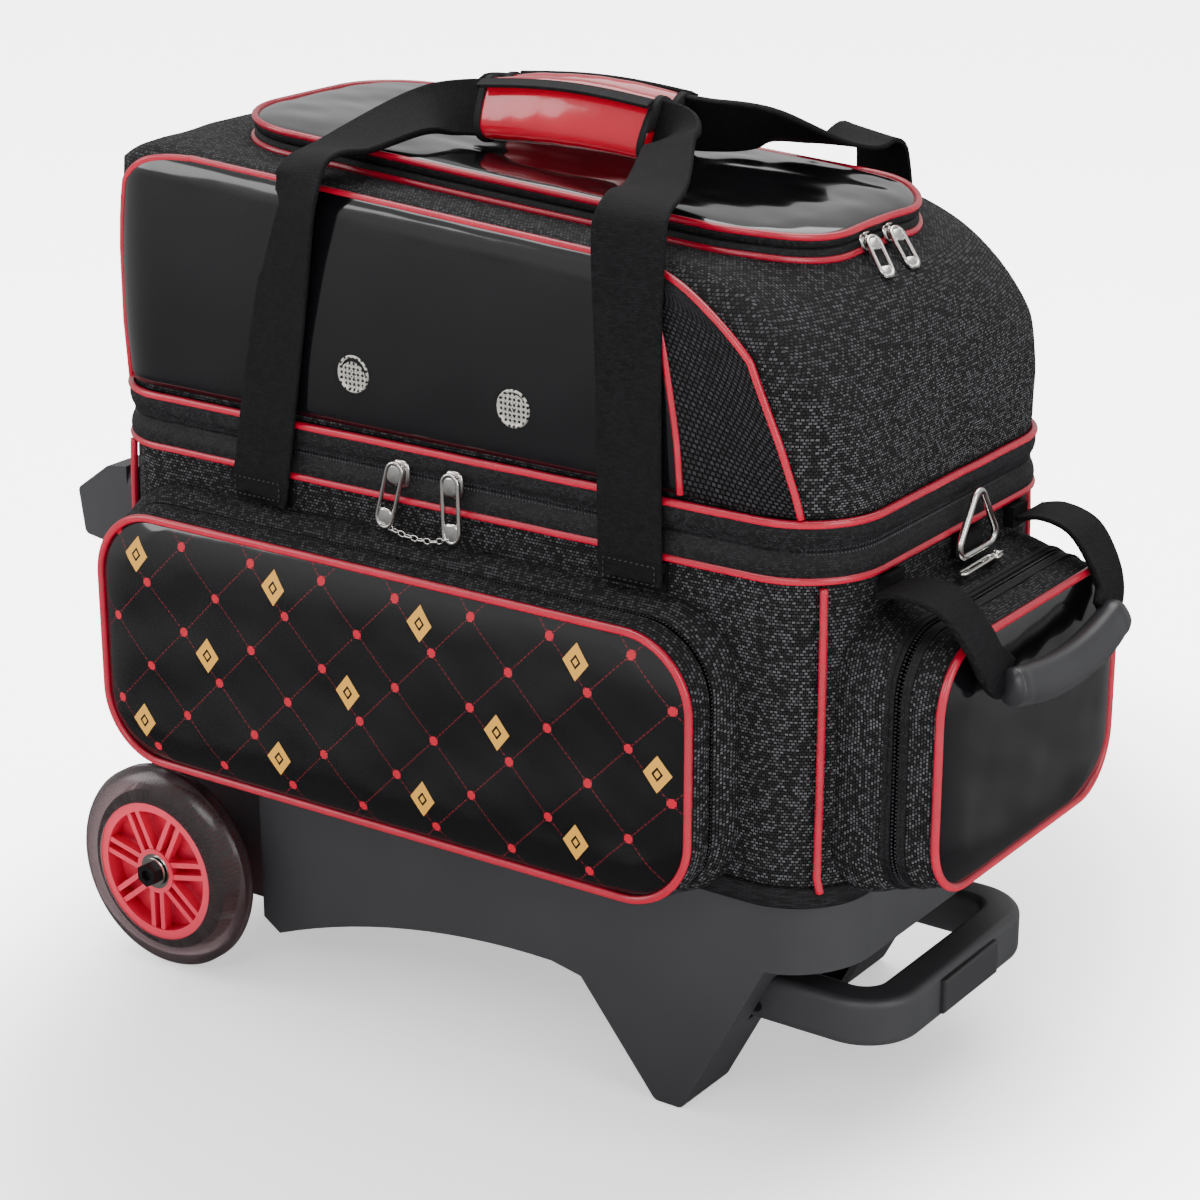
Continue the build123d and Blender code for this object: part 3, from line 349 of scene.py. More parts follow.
def speckle(tree, size, low, high):
    """Uneven colour between two shades, in lumps about this many mm across."""
    return add(tree, "ShaderNodeMix", {"data_type": "RGBA", 6: linear(low), 7: linear(high)},
               Factor=cloud(tree, size, 3.0)).outputs[2]


def holes(tree, pitch, face, hole):
    """Round holes punched in upright rows, as wide as six tenths of their pitch in mm, drawn as dark spots of
    painted shade.
    """
    step = 1000 / pitch
    cells = add(tree, "ShaderNodeTexVoronoi", {"voronoi_dimensions": "3D", "Scale": 1.0, "Randomness": 0.0},
                Vector=where(tree, (step, 0.0, step)))
    inside = add(tree, "ShaderNodeMapRange", {"From Min": 0.36, "From Max": 0.24}, Value=cells.outputs[0])
    # Each dark spot is painted shade where a hole is.
    return add(tree, "ShaderNodeMix", {"data_type": "RGBA", 6: linear(face), 7: linear(hole)},
               Factor=inside.outputs[0]).outputs[2]


def threads(tree, pitch, length, dark, pale, bias, gap="#08080a"):
    """Staggered thread floats, their rows a pitch apart and their length in mm, part dark, part pale.
    The first output is their colour, the second the gaps between them."""
    return add(tree, "ShaderNodeTexBrick",
               {"Scale": 1.0, "Mortar Size": 0.2, "Mortar Smooth": 0.35, "Bias": bias,
                "Brick Width": length / pitch, "Row Height": 1.0,
                "Color1": linear(dark), "Color2": linear(pale), "Mortar": linear(gap)},
               Vector=where(tree, every(pitch), cloth_map=True))


def relief(tree, weave):
    """The height of a weave: full on its threads, none in the gaps."""
    return add(tree, "ShaderNodeMath", {"operation": "SUBTRACT", 0: 1.0}, i1=weave.outputs[1]).outputs[0]


def yarn(tree):
    """The bag's cloth: floats 2.1 mm long in staggered rows 1.7 mm apart."""
    return threads(tree, 1.7, 2.1, "#121213", "#47474a", bias=-0.3, gap="#050506")


def ribs(tree):
    """Strap webbing: ribs 1.5 mm apart, of floats 2.2 mm long."""
    return threads(tree, 1.5, 2.2, "#060607", "#111113", bias=0.0)


def net(tree):
    """Spacer mesh: square cells of 2.6 mm."""
    # The near-black gap colour is painted shade down in the open mesh.
    return threads(tree, 2.6, 2.6, "#141416", "#222226", bias=0.0, gap="#020203")


# Woven polyester, plied from black and grey yarn: matt, with pale flecks in staggered rows. It is
# drawn with rows 1.7 mm apart, coarser than the real yarn, so that the flecks still show.
woven = finish_material(
    "woven_polyester", color=lambda tree: yarn(tree).outputs[0], rough=0.82,
    bump=lambda tree: relief(tree, yarn(tree)), depth=0.8, distance=0.0006, Specular_IOR_Level=0.2)
# Thin nylon taffeta, coated behind: plain black and matt, with soft creases.
lining = finish_material(
    "plain_lining", color=lambda tree: speckle(tree, 9, "#0c0c0d", "#161618"), rough=0.75,
    bump=lambda tree: cloud(tree, 0.9), depth=0.35, Specular_IOR_Level=0.2)
# Polyurethane patent leather, cast smooth: near black, mirror gloss, long soft ripples.
patent = finish_material(
    "patent_vinyl", color=lambda tree: speckle(tree, 60, "#040405", "#09090b"), rough=0.13,
    bump=lambda tree: cloud(tree, 26, 1.0), depth=0.10, distance=0.002,
    Coat_Weight=0.6, Coat_Roughness=0.05)
# The same patent leather in red, wrapped over foam: glossy, with closer dents.
red_patent = finish_material(
    "red_patent_vinyl", color=lambda tree: speckle(tree, 30, "#94031b", "#ad0926"), rough=0.16,
    bump=lambda tree: cloud(tree, 12), depth=0.22, Coat_Weight=0.6, Coat_Roughness=0.06)
# Extruded PVC piping: glossy red with the faint rub of its wrapped cord.
piping = finish_material(
    "red_piping", color=lambda tree: speckle(tree, 14, "#7c0019", "#990424"), rough=0.28,
    bump=lambda tree: cloud(tree, 1.6, 1.0), depth=0.15, Coat_Weight=0.3, Coat_Roughness=0.12)
# Flat polypropylene webbing: rows of ribs 1.5 mm apart, faintly shiny.
webbing = finish_material(
    "webbing_ribs", color=lambda tree: ribs(tree).outputs[0], rough=0.72,
    bump=lambda tree: relief(tree, ribs(tree)), depth=0.7, distance=0.0007, Specular_IOR_Level=0.15)
# Grosgrain ribbon of polyester: a flat dark binding with fine ribs 1.1 mm apart.
binding = finish_material(
    "grosgrain_binding", rough=0.7,
    color=lambda tree: threads(tree, 1.1, 6.0, "#0a0a0b", "#17171a", bias=0.0).outputs[0],
    bump=lambda tree: cloud(tree, 0.8), depth=0.4, Specular_IOR_Level=0.2)
# Zip tape: knitted polyester, a fine herringbone at 1.2 mm.
zip_tape = finish_material(
    "zip_tape", rough=0.66,
    color=lambda tree: threads(tree, 1.2, 1.8, "#0a0a0b", "#1e1e21", bias=-0.2).outputs[0],
    bump=lambda tree: cloud(tree, 1.0), depth=0.4, Specular_IOR_Level=0.25)
# Nylon monofilament, for the zips' coils and the sewing thread: black with a small bright glint.
coil = finish_material(
    "nylon_coil", color=lambda tree: speckle(tree, 7, "#151517", "#2b2b2f"), rough=0.32)
# Knitted polyester spacer mesh: open cells of 2.6 mm, dark inside, with near-black painted shade in the sunk
# gaps, so the panel looks dull and deep.
mesh_cloth = finish_material(
    "spacer_mesh", color=lambda tree: net(tree).outputs[0], rough=0.6,
    bump=lambda tree: relief(tree, net(tree)), depth=1.0, distance=0.0012, Specular_IOR_Level=0.2)
# Moulded polypropylene with a spark-eroded grain of about 0.9 mm: charcoal, satin.
moulded = finish_material(
    "moulded_plastic", color=lambda tree: speckle(tree, 45, "#242426", "#2c2c2f"), rough=0.46,
    bump=lambda tree: cloud(tree, 0.9, 1.0), depth=0.16, distance=0.0005)
# A softer rubbery polymer over the end grip: darker, and a little shinier where hands rub it.
grip_plastic = finish_material(
    "moulded_grip", color=lambda tree: speckle(tree, 20, "#1a1a1c", "#232326"), rough=0.36,
    bump=lambda tree: cloud(tree, 0.8, 1.0), depth=0.12, distance=0.0005)
# Acetal, moulded smooth: plain dark grey with a soft shine.
button_plastic = finish_material(
    "button_plastic", color=lambda tree: speckle(tree, 30, "#1b1b1d", "#222224"), rough=0.36)
# Pressed fibre board: dull, with flecks of fibre a few millimetres long.
board = finish_material(
    "stiffener_board", color=lambda tree: speckle(tree, 4, "#1a1a1b", "#262627"), rough=0.7)
# Closed-cell polyethylene foam: quite matt, pitted by its cells.
foam = finish_material(
    "cell_foam", color=lambda tree: speckle(tree, 2, "#202022", "#2c2c2f"), rough=0.9,
    bump=lambda tree: cloud(tree, 1.2), depth=0.6)
# Stamped nickel, bead blasted: a soft sheen, pricked by holes 2.9 mm apart, painted as dark spots of shade.
satin_nickel = finish_material(
    "satin_nickel", color=lambda tree: holes(tree, 2.9, "#c9c5bd", "#1c1b1a"), metal=0.8, rough=0.5)
# Nickel plate over a zinc casting: a warm mirror, clouded by handling.
nickel = finish_material(
    "nickel_plate", color=linear("#d6d4d0"), metal=1.0,
    rough=lambda tree: add(tree, "ShaderNodeMapRange", {"To Min": 0.10, "To Max": 0.24},
                           Value=cloud(tree, 5)).outputs[0])
# Drawn steel tube: bright, brushed with fine lines along its length.
steel_tube = finish_material(
    "drawn_steel", color=linear("#b9bbbe"), metal=1.0, rough=0.3, depth=0.12, distance=0.0003,
    bump=lambda tree: add(tree, "ShaderNodeTexNoise", {"Scale": 1.0, "Detail": 1.0},
                          Vector=where(tree, (40, 2200, 2200))).outputs[0])
# Steel bolts, chemically blackened: dark, with a metal's muted shine.
black_steel = finish_material(
    "black_oxide_steel", color=lambda tree: speckle(tree, 5, "#111113", "#1c1c1f"), metal=0.6, rough=0.38)
# Glass-filled nylon, moulded in red: even colour with a slight orange-peel.
red_nylon = finish_material(
    "red_nylon", color=lambda tree: speckle(tree, 16, "#b00f2c", "#c21b3a"), rough=0.34,
    bump=lambda tree: cloud(tree, 1.4, 1.0), depth=0.1)
# Cast polyurethane, smoke grey: it lets the red core show through.
urethane = finish_material(
    "smoke_urethane", color=lambda tree: speckle(tree, 40, "#473b3d", "#57494b"), rough=0.22,
    Transmission_Weight=0.8, IOR=1.45)


def lattice_print(tree):
    """Printed lattice on black: slanting dashed lines 51 mm apart, a small block at each crossing and
    a gold lozenge at the middle of every fourth cell."""
    place = add(tree, "ShaderNodeSeparateXYZ", Vector=where(tree, (1000, 1000, 1000)))
    values = {"x": place.outputs[0], "z": place.outputs[2]}

    def nearest(name, source, period):
        """Steps to the distance from a value to the nearest multiple of the period, in mm."""
        return [(name, "DIVIDE", source, period), (name, "ADD", name, 100.5), (name, "FRACT", name),
                (name, "SUBTRACT", name, 0.5), (name, "ABSOLUTE", name), (name, "MULTIPLY", name, period)]

    cell, dash = 51, 4.4
    # Each step names its result, the operation and what it works on: earlier results or numbers.
    steps = [
        ("rising", "ADD", "x", "z"), ("falling", "SUBTRACT", "x", "z"),
        *nearest("rising_dash", "rising", dash), ("rising_dash", "GREATER_THAN", "rising_dash", 0.7),
        *nearest("falling_dash", "falling", dash), ("falling_dash", "GREATER_THAN", "falling_dash", 0.7),
        *nearest("off_rising", "rising", cell), *nearest("off_falling", "falling", cell),
        ("line", "LESS_THAN", "off_rising", 0.5), ("line", "MULTIPLY", "line", "falling_dash"),
        ("other_line", "LESS_THAN", "off_falling", 0.5),
        ("other_line", "MULTIPLY", "other_line", "rising_dash"),
        ("lines", "MAXIMUM", "line", "other_line"),
        ("long", "ADD", "off_rising", "off_falling"), ("long", "LESS_THAN", "long", 5.2),
        ("high", "SUBTRACT", "off_rising", "off_falling"), ("high", "ABSOLUTE", "high"),
        ("high", "LESS_THAN", "high", 3.0), ("blocks", "MULTIPLY", "long", "high"),
    ]
    for gem, shift_x, shift_z in (("gem", 8.0, 36.0), ("other_gem", 59.0, 87.0)):
        steps += [
            ("across", "ADD", "x", shift_x), *nearest("across", "across", 2 * cell),
            ("up", "ADD", "z", shift_z), *nearest("up", "up", 2 * cell),
            ("up", "MULTIPLY", "up", 0.8), ("off_gem", "ADD", "across", "up"),
            ("whole", "LESS_THAN", "off_gem", 8.4), ("edge", "GREATER_THAN", "off_gem", 3.4),
            ("core", "LESS_THAN", "off_gem", 1.9), ("core", "MAXIMUM", "edge", "core"),
            (gem, "MULTIPLY", "whole", "core"),
        ]
    steps.append(("gems", "MAXIMUM", "gem", "other_gem"))
    for name, operation, *sources in steps:
        numbers = {k: source for k, source in enumerate(sources) if not isinstance(source, str)}
        links = {"i" + str(k): values[source] for k, source in enumerate(sources) if isinstance(source, str)}
        values[name] = add(tree, "ShaderNodeMath", {"operation": operation} | numbers, **links).outputs[0]

    black, maroon, red, gold = (linear(code) for code in ("#060607", "#4a0812", "#8f0c20", "#a97a2b"))
    ink = add(tree, "ShaderNodeMix", {"data_type": "RGBA", 6: black, 7: maroon}, Factor=values["lines"])
    for mask, colour in (("blocks", red), ("gems", gold)):
        ink = add(tree, "ShaderNodeMix", {"data_type": "RGBA", 7: colour}, Factor=values[mask],
                  i6=ink.outputs[2])
    return ink.outputs[2]


# The patent leather again, printed under its gloss.
printed = finish_material(
    "printed_patent_vinyl", color=lattice_print, rough=0.13, bump=lambda tree: cloud(tree, 26, 1.0),
    depth=0.10, distance=0.002, Coat_Weight=0.6, Coat_Roughness=0.05)

NODE_FINISH = {name: material for material, names in (
    (moulded, "base_tray sleeve_brackets end_plate end_bumpers pull_bar pull_bar_cover"),
    (button_plastic, "release_button"),
    (steel_tube, "handle_sleeves mid_tubes inner_tubes release_yoke button_springs"),
    (black_steel, "axle_bolts pull_bar_screws"),
    (nickel, "axle_spacers wheel_bearings_front wheel_bearings_back triangle_ring"),
    (red_nylon, "wheel_hub_front wheel_hub_back"),
    (urethane, "tyre_front tyre_back"),
    (board, "base_board"),
    (foam, "ball_cup_left ball_cup_right"),
    (webbing, "strap_anchors ring_tab"),
) for name in names.split()}


def dress_nodes():
    """Gives each CAD node its finish, the lining's where none is named."""
    for name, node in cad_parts.items():
        node.data.materials.clear()
        node.data.materials.append(NODE_FINISH.get(name, lining))


dress_nodes()


# ---------------------------------------------------------------- the bag's plan
def plan_line(half_x, half_y, radius, count):
    """A rounded rectangle seen from above, anticlockwise from the middle of the back: straight runs
    and quarter circles, at even steps of length. Also its outward directions."""
    corner = np.array([[1, 1], [-1, 1], [-1, -1], [1, -1]])
    turn = np.linspace(0, pi / 2, 24)[None] + np.array([0, pi / 2, pi, 3 * pi / 2])[:, None]
    x = corner[:, :1] * (half_x - radius) + radius * np.cos(turn)
    y = corner[:, 1:] * (half_y - radius) + radius * np.sin(turn)
    line = np.stack([x.ravel(), y.ravel()], 1)
    line = np.concatenate([[[0.0, half_y]], line[24:], line[:24], [[0.0, half_y]]])
    line = even(line, count, closed=True)
    along = tangents(line, True)
    return line, np.stack([along[:, 1], -along[:, 0]], 1)


def body_plan(count):
    """The plan of the bag's fabric body."""
    return plan_line(HALF_L, HALF_D, BODY_R, count)


def ring_at(line, out, grow, z):
    """The plan's points moved out by grow, at a height; grow and z may have a row for each ring."""
    moved = line + out * np.asarray(grow)[..., None]
    height = np.broadcast_to(np.asarray(z, float)[..., None], moved.shape[:-1] + (1,))
    return np.concatenate([moved, height], -1)


def outside(gap):
    """The numbers of a ring's points from the end of a gap round to its start."""
    order = np.roll(np.arange(len(gap)), -int(np.argmax(gap)))
    return order[~gap[order]]


# ---------------------------------------------------------------- tub
def tub_bulge(z, along):
    """The wall's fullness: a half sine between the binding and the zip, with shallow folds."""
    share = np.clip((z - TUB_Z - 8) / (ZIP_Z - TUB_Z - 12), 0, 1)
    return np.sin(pi * share) ** 0.8 * (1.6 + 1.1 * noise(along * 0.9, z * 0.8))


def make_tub():
    """Floor, padded walls and lining as one closed shell."""
    count, wall, floor_z = 360, 4.0, TUB_Z + 3.4
    line, out = body_plan(count)
    length = np.linspace(0, ROUND_BODY, count)[None]
    z = np.linspace(TUB_Z + 0.5, ZIP_Z - 0.2, 40)[:, None]
    outer = ring_at(line, out, tub_bulge(z, length), z)
    inner = ring_at(line, out, tub_bulge(z[::-1], length) - wall, z[::-1] + 0.2)
    inner[-1, :, 2] = floor_z
    shares = np.array([0.0, 0.35, 0.7, 0.93])[:, None, None]
    floor = ring_at(line * shares, out, 0.0, TUB_Z + 0.5)
    inside = ring_at(line * shares[::-1], out, -wall * shares[::-1, :, 0], floor_z)
    shell = surface("tub_walls", np.concatenate([floor, outer, inner, inside]), "root", woven,
                    wrap_columns=True, closed=True)
    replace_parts(shell, "bag_tub")
    shell.data.materials.append(lining)
    faces = shell.data.polygons
    middle = np.zeros(len(faces) * 3)
    faces.foreach_get("center", middle)
    middle = np.abs(middle.reshape(-1, 3) * 1000 - MIDDLE)
    past = np.maximum(middle[:, :2] - [HALF_L - BODY_R, HALF_D - BODY_R], 0)
    depth = np.minimum(HALF_L - middle[:, 0], HALF_D - middle[:, 1])
    lined = np.minimum(depth, BODY_R - np.hypot(past[:, 0], past[:, 1])) > 1.5
    faces.foreach_set("material_index", lined.astype(int))


def make_binding():
    """The bound lower edge: a folded tape standing a little off the wall, open behind the end plate."""
    half_plate = 103
    line, out = body_plan(420)
    order = outside((line[:, 0] < 40 - HALF_L) & (np.abs(line[:, 1]) < half_plate))
    z = np.linspace(TUB_Z - 0.2, TUB_Z + 10.5, 9)[:, None]
    fold = 0.4 + 1.6 * np.clip(1 - ((z - TUB_Z - 5) / 5.6) ** 4, 0, 1)
    strip = surface("bottom_binding_tape", ring_at(line[order], out[order], fold, z), "root", binding)
    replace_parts(strip, "bottom_binding")
    thicken(strip, 1.0)


def cord_round(name, z, body):
    """A piping cord round the body at one height, waving a quarter of a millimetre up and down."""
    line, out = body_plan(400)
    wave = 0.25 * noise(np.linspace(0, ROUND_BODY, 400), 0)
    return piped(name, ring_at(line, out, 2.4, z + wave), 2.2, (0, 0, 1), body, closed=True)


def make_corner_cords():
    """The upright cords on the tub's corners, each kinked where it is tucked in at its lower end."""
    corner = (BODY_R + 3.0) / 2 ** 0.5 - BODY_R
    z = np.linspace(TUB_Z + 9, ZIP_Z - 4, 60)
    bow = 0.7 * (1.4 * np.sin(pi * (z - z[0]) / (z[-1] - z[0])) + 0.4 * noise(z, 0))
    kink = 4.0 * np.clip((TUB_Z + 17 - z) / 8, 0, 1)
    for end, side_x in (("left", -1), ("right", 1)):
        for place, side_y in (("front", FRONT), ("back", BACK)):
            x = side_x * (HALF_L + corner + bow + 0.4 * kink)
            y = side_y * (HALF_D + corner + bow - 0.2 * kink)
            piped("corner_cord_" + end + "_" + place, np.stack([x, y, z], 1), 2.2,
                  (side_x, side_y, 0), "root")


# ---------------------------------------------------------------- zip coils
def bead_row(name, path, facing, body, pitch, size, power):
    """The same small rounded block at every pitch along a path, turned to face the given ways."""
    run = np.linalg.norm(np.diff(path, axis=0), axis=1).sum()
    spots = even(path, max(int(run / pitch), 4))
    along = tangents(spots, False)
    face = unit(even(facing, len(spots)) if np.ndim(facing) > 1 else np.array([facing], float) + 0 * spots)
    points, faces = bead(size, power, 4, 6)
    shape = copies(points, faces, spots, along, unit(np.cross(along, face)), face)
    join_shapes(name, [shape], body, coil)


def coil_teeth(name, path, facing, body, size=(1.2, 1.7, 1.5)):
    """A row of coil turns along a path, 2.1 mm apart."""
    bead_row(name, path, facing, body, 2.1, size, 2.2)


def make_zip_band():
    """Two tapes round the body with their coils, and the cloth hinge behind."""
    half_hinge = 165
    line, out = body_plan(420)
    order = outside((np.abs(line[:, 0]) < half_hinge) & (line[:, 1] > HALF_D - 5))
    line, out = line[order], out[order]
    facing = np.concatenate([out, np.zeros((len(out), 1))], 1)
    share = np.linspace(0, 1, 12)[:, None]
    swell = (0.6 + 1.5 * np.sin(pi * np.clip(share / 0.72, 0, 1)) ** 0.7
             - 1.3 * np.clip((share - 0.72) / 0.28, 0, 1))
    for name, body, start, side in (("lower", "root", ZIP_Z, -1), ("upper", "lid", LID_Z, 1)):
        rise = SPLIT_Z + 0.4 * side - start
        tape = surface(name + "_tape", ring_at(line, out, swell, start + rise * share), body, zip_tape,
                       flip=name == "upper")
        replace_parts(tape, name + "_zip_tape")
        thicken(tape, 1.6)
        coil_teeth(name + "_coil", ring_at(line, out, 0.7, SPLIT_Z + 1.5 * side), facing, body,
                   size=(1.3, 2.3, 1.9))
        for step, height in enumerate((0.62, 0.36)):
            ridge = ring_at(line, out, 2.05 - 0.1 * step, start + rise * height)
            sweep(name + "_tape_ridge_" + str(step + 1), ridge[::2], round_section(0.45, 0.35, 6),
                  facing[::2], body, zip_tape)
    x, z = np.meshgrid(np.linspace(-half_hinge - 1, half_hinge + 1, 40),
                       np.linspace(ZIP_Z - 1, LID_Z + 1, 14))
    y = HALF_D + 0.4 + 2.4 * np.sin(pi * (z - ZIP_Z) / 30).clip(0, 1) ** 0.6 + 0.3 * noise(x, z)
    hinge = surface("cloth_hinge", np.stack([x, y, z], -1), None, woven, flip=True)
    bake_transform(hinge)
    thicken(hinge, 1.2)


make_tub()
make_binding()
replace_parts(cord_round("lower_zip_cord", ZIP_Z, "root"), "body_piping")
make_corner_cords()
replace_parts(cord_round("upper_zip_cord", LID_Z, "lid"), "upper_piping")
make_zip_band()


# ---------------------------------------------------------------- lid
def roof_height(x, y):
    """Height of the lid's cloth: a gentle slope, a quarter circle down at each end, wider towards the
    front and back, and a smaller one along the long edges."""
    rise = ROOF_Z - SLOPE * x
    out = np.clip(np.abs(y) / HALF_D, 0, 1) ** 2
    left_r = 38.0 + 8.0 * out
    right_r = 66.0 + 50.0 * out
    left = np.clip(-x - (HALF_L - left_r), 0, left_r)
    right = np.clip(x - (HALF_L - right_r), 0, right_r)
    ends = left_r - np.sqrt(left_r ** 2 - left ** 2) + (right_r - np.sqrt(right_r ** 2 - right ** 2))
    edge = np.clip(np.abs(y) - (HALF_D - EDGE_R), 0, EDGE_R)
    sag = 1.2 * np.cos(pi * np.clip(x / HALF_L, -1, 1)) * np.cos(pi * y / HALF_D / 2)
    return rise - ends - (EDGE_R - np.sqrt(np.clip(EDGE_R ** 2 - edge ** 2, 0, None))) - sag


def opening_line(count, grow):
    """The shoe compartment's rounded mouth, matched point for point with the body's plan."""
    line, out = plan_line(FLAP_L + grow, FLAP_D + grow, FLAP_R + grow, count)
    return line + np.array([FLAP_X, 0.0]), out


def lid_cloth_map(piece):
    """Lays the weave square to each side: x and y on the roof, y and the height on the ends, where
    the slope takes a fifth more, and x and z on the long walls."""
    mesh = piece.data
    corner = np.zeros(len(mesh.loops), int)
    mesh.loops.foreach_get("vertex_index", corner)
    points = np.zeros(len(mesh.vertices) * 3)
    mesh.vertices.foreach_get("co", points)
    points = points.reshape(-1, 3)[corner]
    normal = np.zeros(len(mesh.polygons) * 3)
    mesh.polygons.foreach_get("normal", normal)
    sizes = np.zeros(len(mesh.polygons), int)
    mesh.polygons.foreach_get("loop_total", sizes)
    normal = np.repeat(np.abs(normal.reshape(-1, 3)), sizes, axis=0)
    roof = normal[:, 2] > 0.82
    ends = ~roof & (normal[:, 0] > normal[:, 1])
    u = np.where(ends, points[:, 1], points[:, 0])
    v = np.where(roof, points[:, 1], points[:, 2] * np.where(ends, 1.2, 1.0))
    mesh.uv_layers["cloth"].data.foreach_set("uv", np.stack([u, v], 1).astype(np.float32).ravel())


def lid_grid(inset):
    """Wall then roof: each plan point goes up the wall, then across to the shoe opening."""
    count = 360
    line, out = body_plan(count)
    hole, _ = opening_line(count, -7.0)
    length = np.linspace(0, ROUND_BODY, count)[None]
    top = roof_height(line[:, 0], line[:, 1])[None]
    share = np.linspace(0, 1, 26)[:, None]
    z = LID_Z + 0.2 + (top - LID_Z - 0.2) * share
    full = 1.8 * np.sin(pi * share) ** 0.8 * (1 + 0.7 * noise(length, z * 1.3)) - inset
    wall = ring_at(line, out, full, z)
    k = (1 - np.cos(np.linspace(0, pi / 2, 26)))[1:, None, None] ** 1.15
    flat = line * (1 - k) + hole * k
    ripple = 0.5 * noise(flat[..., 0] * 1.4, flat[..., 1] * 1.4) * np.minimum(k[..., 0] * 3, 1)
    roof_z = roof_height(flat[..., 0], flat[..., 1]) + ripple
    flat = flat - inset * out * (1 - k)
    roof = np.concatenate([flat, roof_z[..., None] - inset * np.minimum(1, k * 4)], -1)
    return np.concatenate([wall, roof])


def make_lid():
    """Cloth outside and an inner layer in the same cloth, joined round the shoe opening and the zip."""
    outer, inner = lid_grid(0.0), lid_grid(3.2)[::-1]
    inner[-1, :, 2] = LID_Z + 0.2
    shell = surface("lid_cloth", np.concatenate([outer, inner]), "lid", woven,
                    wrap_rows=True, wrap_columns=True, closed=True)
    lid_cloth_map(shell)
    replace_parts(shell, "lid_shell")


def wall_point(x, share, lift, side):
    """A point on the lid's long wall: along x, share 0 to 1 up to where the roof's edge starts, then
    1 to 2 round that edge to 66 degrees, standing lift off the cloth."""
    over = np.clip(np.abs(x) - (HALF_L - BODY_R), 0, BODY_R - 0.5)
    y = HALF_D - BODY_R + np.sqrt(BODY_R ** 2 - over ** 2)
    nx = np.sign(x) * over / BODY_R
    ny = np.sqrt(1 - nx ** 2)
    up = np.clip(share, 0, 1)
    turn = radians(66) * np.clip(share - 1, 0, 1)
    z = LID_Z + 0.2 + (roof_height(x, HALF_D) - LID_Z) * up + EDGE_R * np.sin(turn)
    off = 1.8 * np.sin(pi * up) ** 0.8 + lift - EDGE_R * (1 - np.cos(turn))
    return np.stack([x + nx * off, side * (y + ny * off), z + lift * np.sin(turn)], -1)


# Edges of the side panels, as (x, share up the wall).
MESH_LEFT = ((156.0, 0.05), (154.0, 0.35), (147.0, 0.72), (139.0, 1.0), (131.0, 1.35), (126.0, 1.75))
MESH_RIGHT = ((222.5, 0.05), (219.0, 0.32), (211.0, 0.68), (196.0, 1.0), (172.0, 1.30),
              (148.0, 1.58), (126.0, 1.75))
TOP_LEFT = ((-228.0, 0.04), (-230.5, 0.45), (-226.0, 0.85), (-216.0, 1.15), (-200.0, 1.5),
            (-176.0, 1.72), (-140.0, 1.75), (126.0, 1.75))


def panel_between(name, left, right, side, material, lift, wrinkle, node):
    """A sewn panel whose two ends follow given lines, pillowed a little and rippled by sines."""
    left, right = smooth_path(left, 44), smooth_path(right, 44)
    share = np.linspace(0.05, 1.72, 44)
    a = np.linspace(0, 1, 110)[None]
    low = np.interp(share, left[:, 1], left[:, 0])[:, None]
    high = np.interp(share, right[:, 1], right[:, 0])[:, None]
    x = low + (high - low) * a
    s = np.broadcast_to(share[:, None], x.shape)
    pillow = np.sin(pi * a) ** 0.35 * np.sin(pi * (s - 0.05) / 1.67).clip(0, 1) ** 0.35
    ripple = noise(x * 1.15, s * 95) * (0.45 + 1.3 * np.exp(-((s - 0.16) / 0.17) ** 2)) * wrinkle
    points = wall_point(x, s, lift + (1.4 + ripple) * pillow, side)
    sheet = surface(name, points, "lid", material, flip=side == BACK)
    thicken(sheet, 1.0)
    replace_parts(sheet, node)


def make_lid_sides():
    """Patent panels, mesh panels and their piping on both long sides."""
    left_edge = [(x, s) for x, s in TOP_LEFT if s < 1.74] + [(-176.0, 1.76)]
    for side, place in ((FRONT, "front"), (BACK, "back")):
        panel_between("patent_panel_" + place, left_edge, MESH_LEFT, side, patent,
                      1.2, 0.55, "lid_panels")
        panel_between("mesh_panel_" + place, MESH_LEFT, MESH_RIGHT, side, mesh_cloth,
                      0.9, 0.15, "lid_mesh_panels")
        for cord, line, count in (("top", TOP_LEFT, 160), ("mesh_left", MESH_LEFT, 60),
                                  ("mesh_right", MESH_RIGHT, 90)):
            track = smooth_path(line, count)
            path = wall_point(track[:, 0], track[:, 1], 1.9, side)
            piped(cord + "_cord_" + place, path, 2.0, (0.2, side, 0.3), "lid")


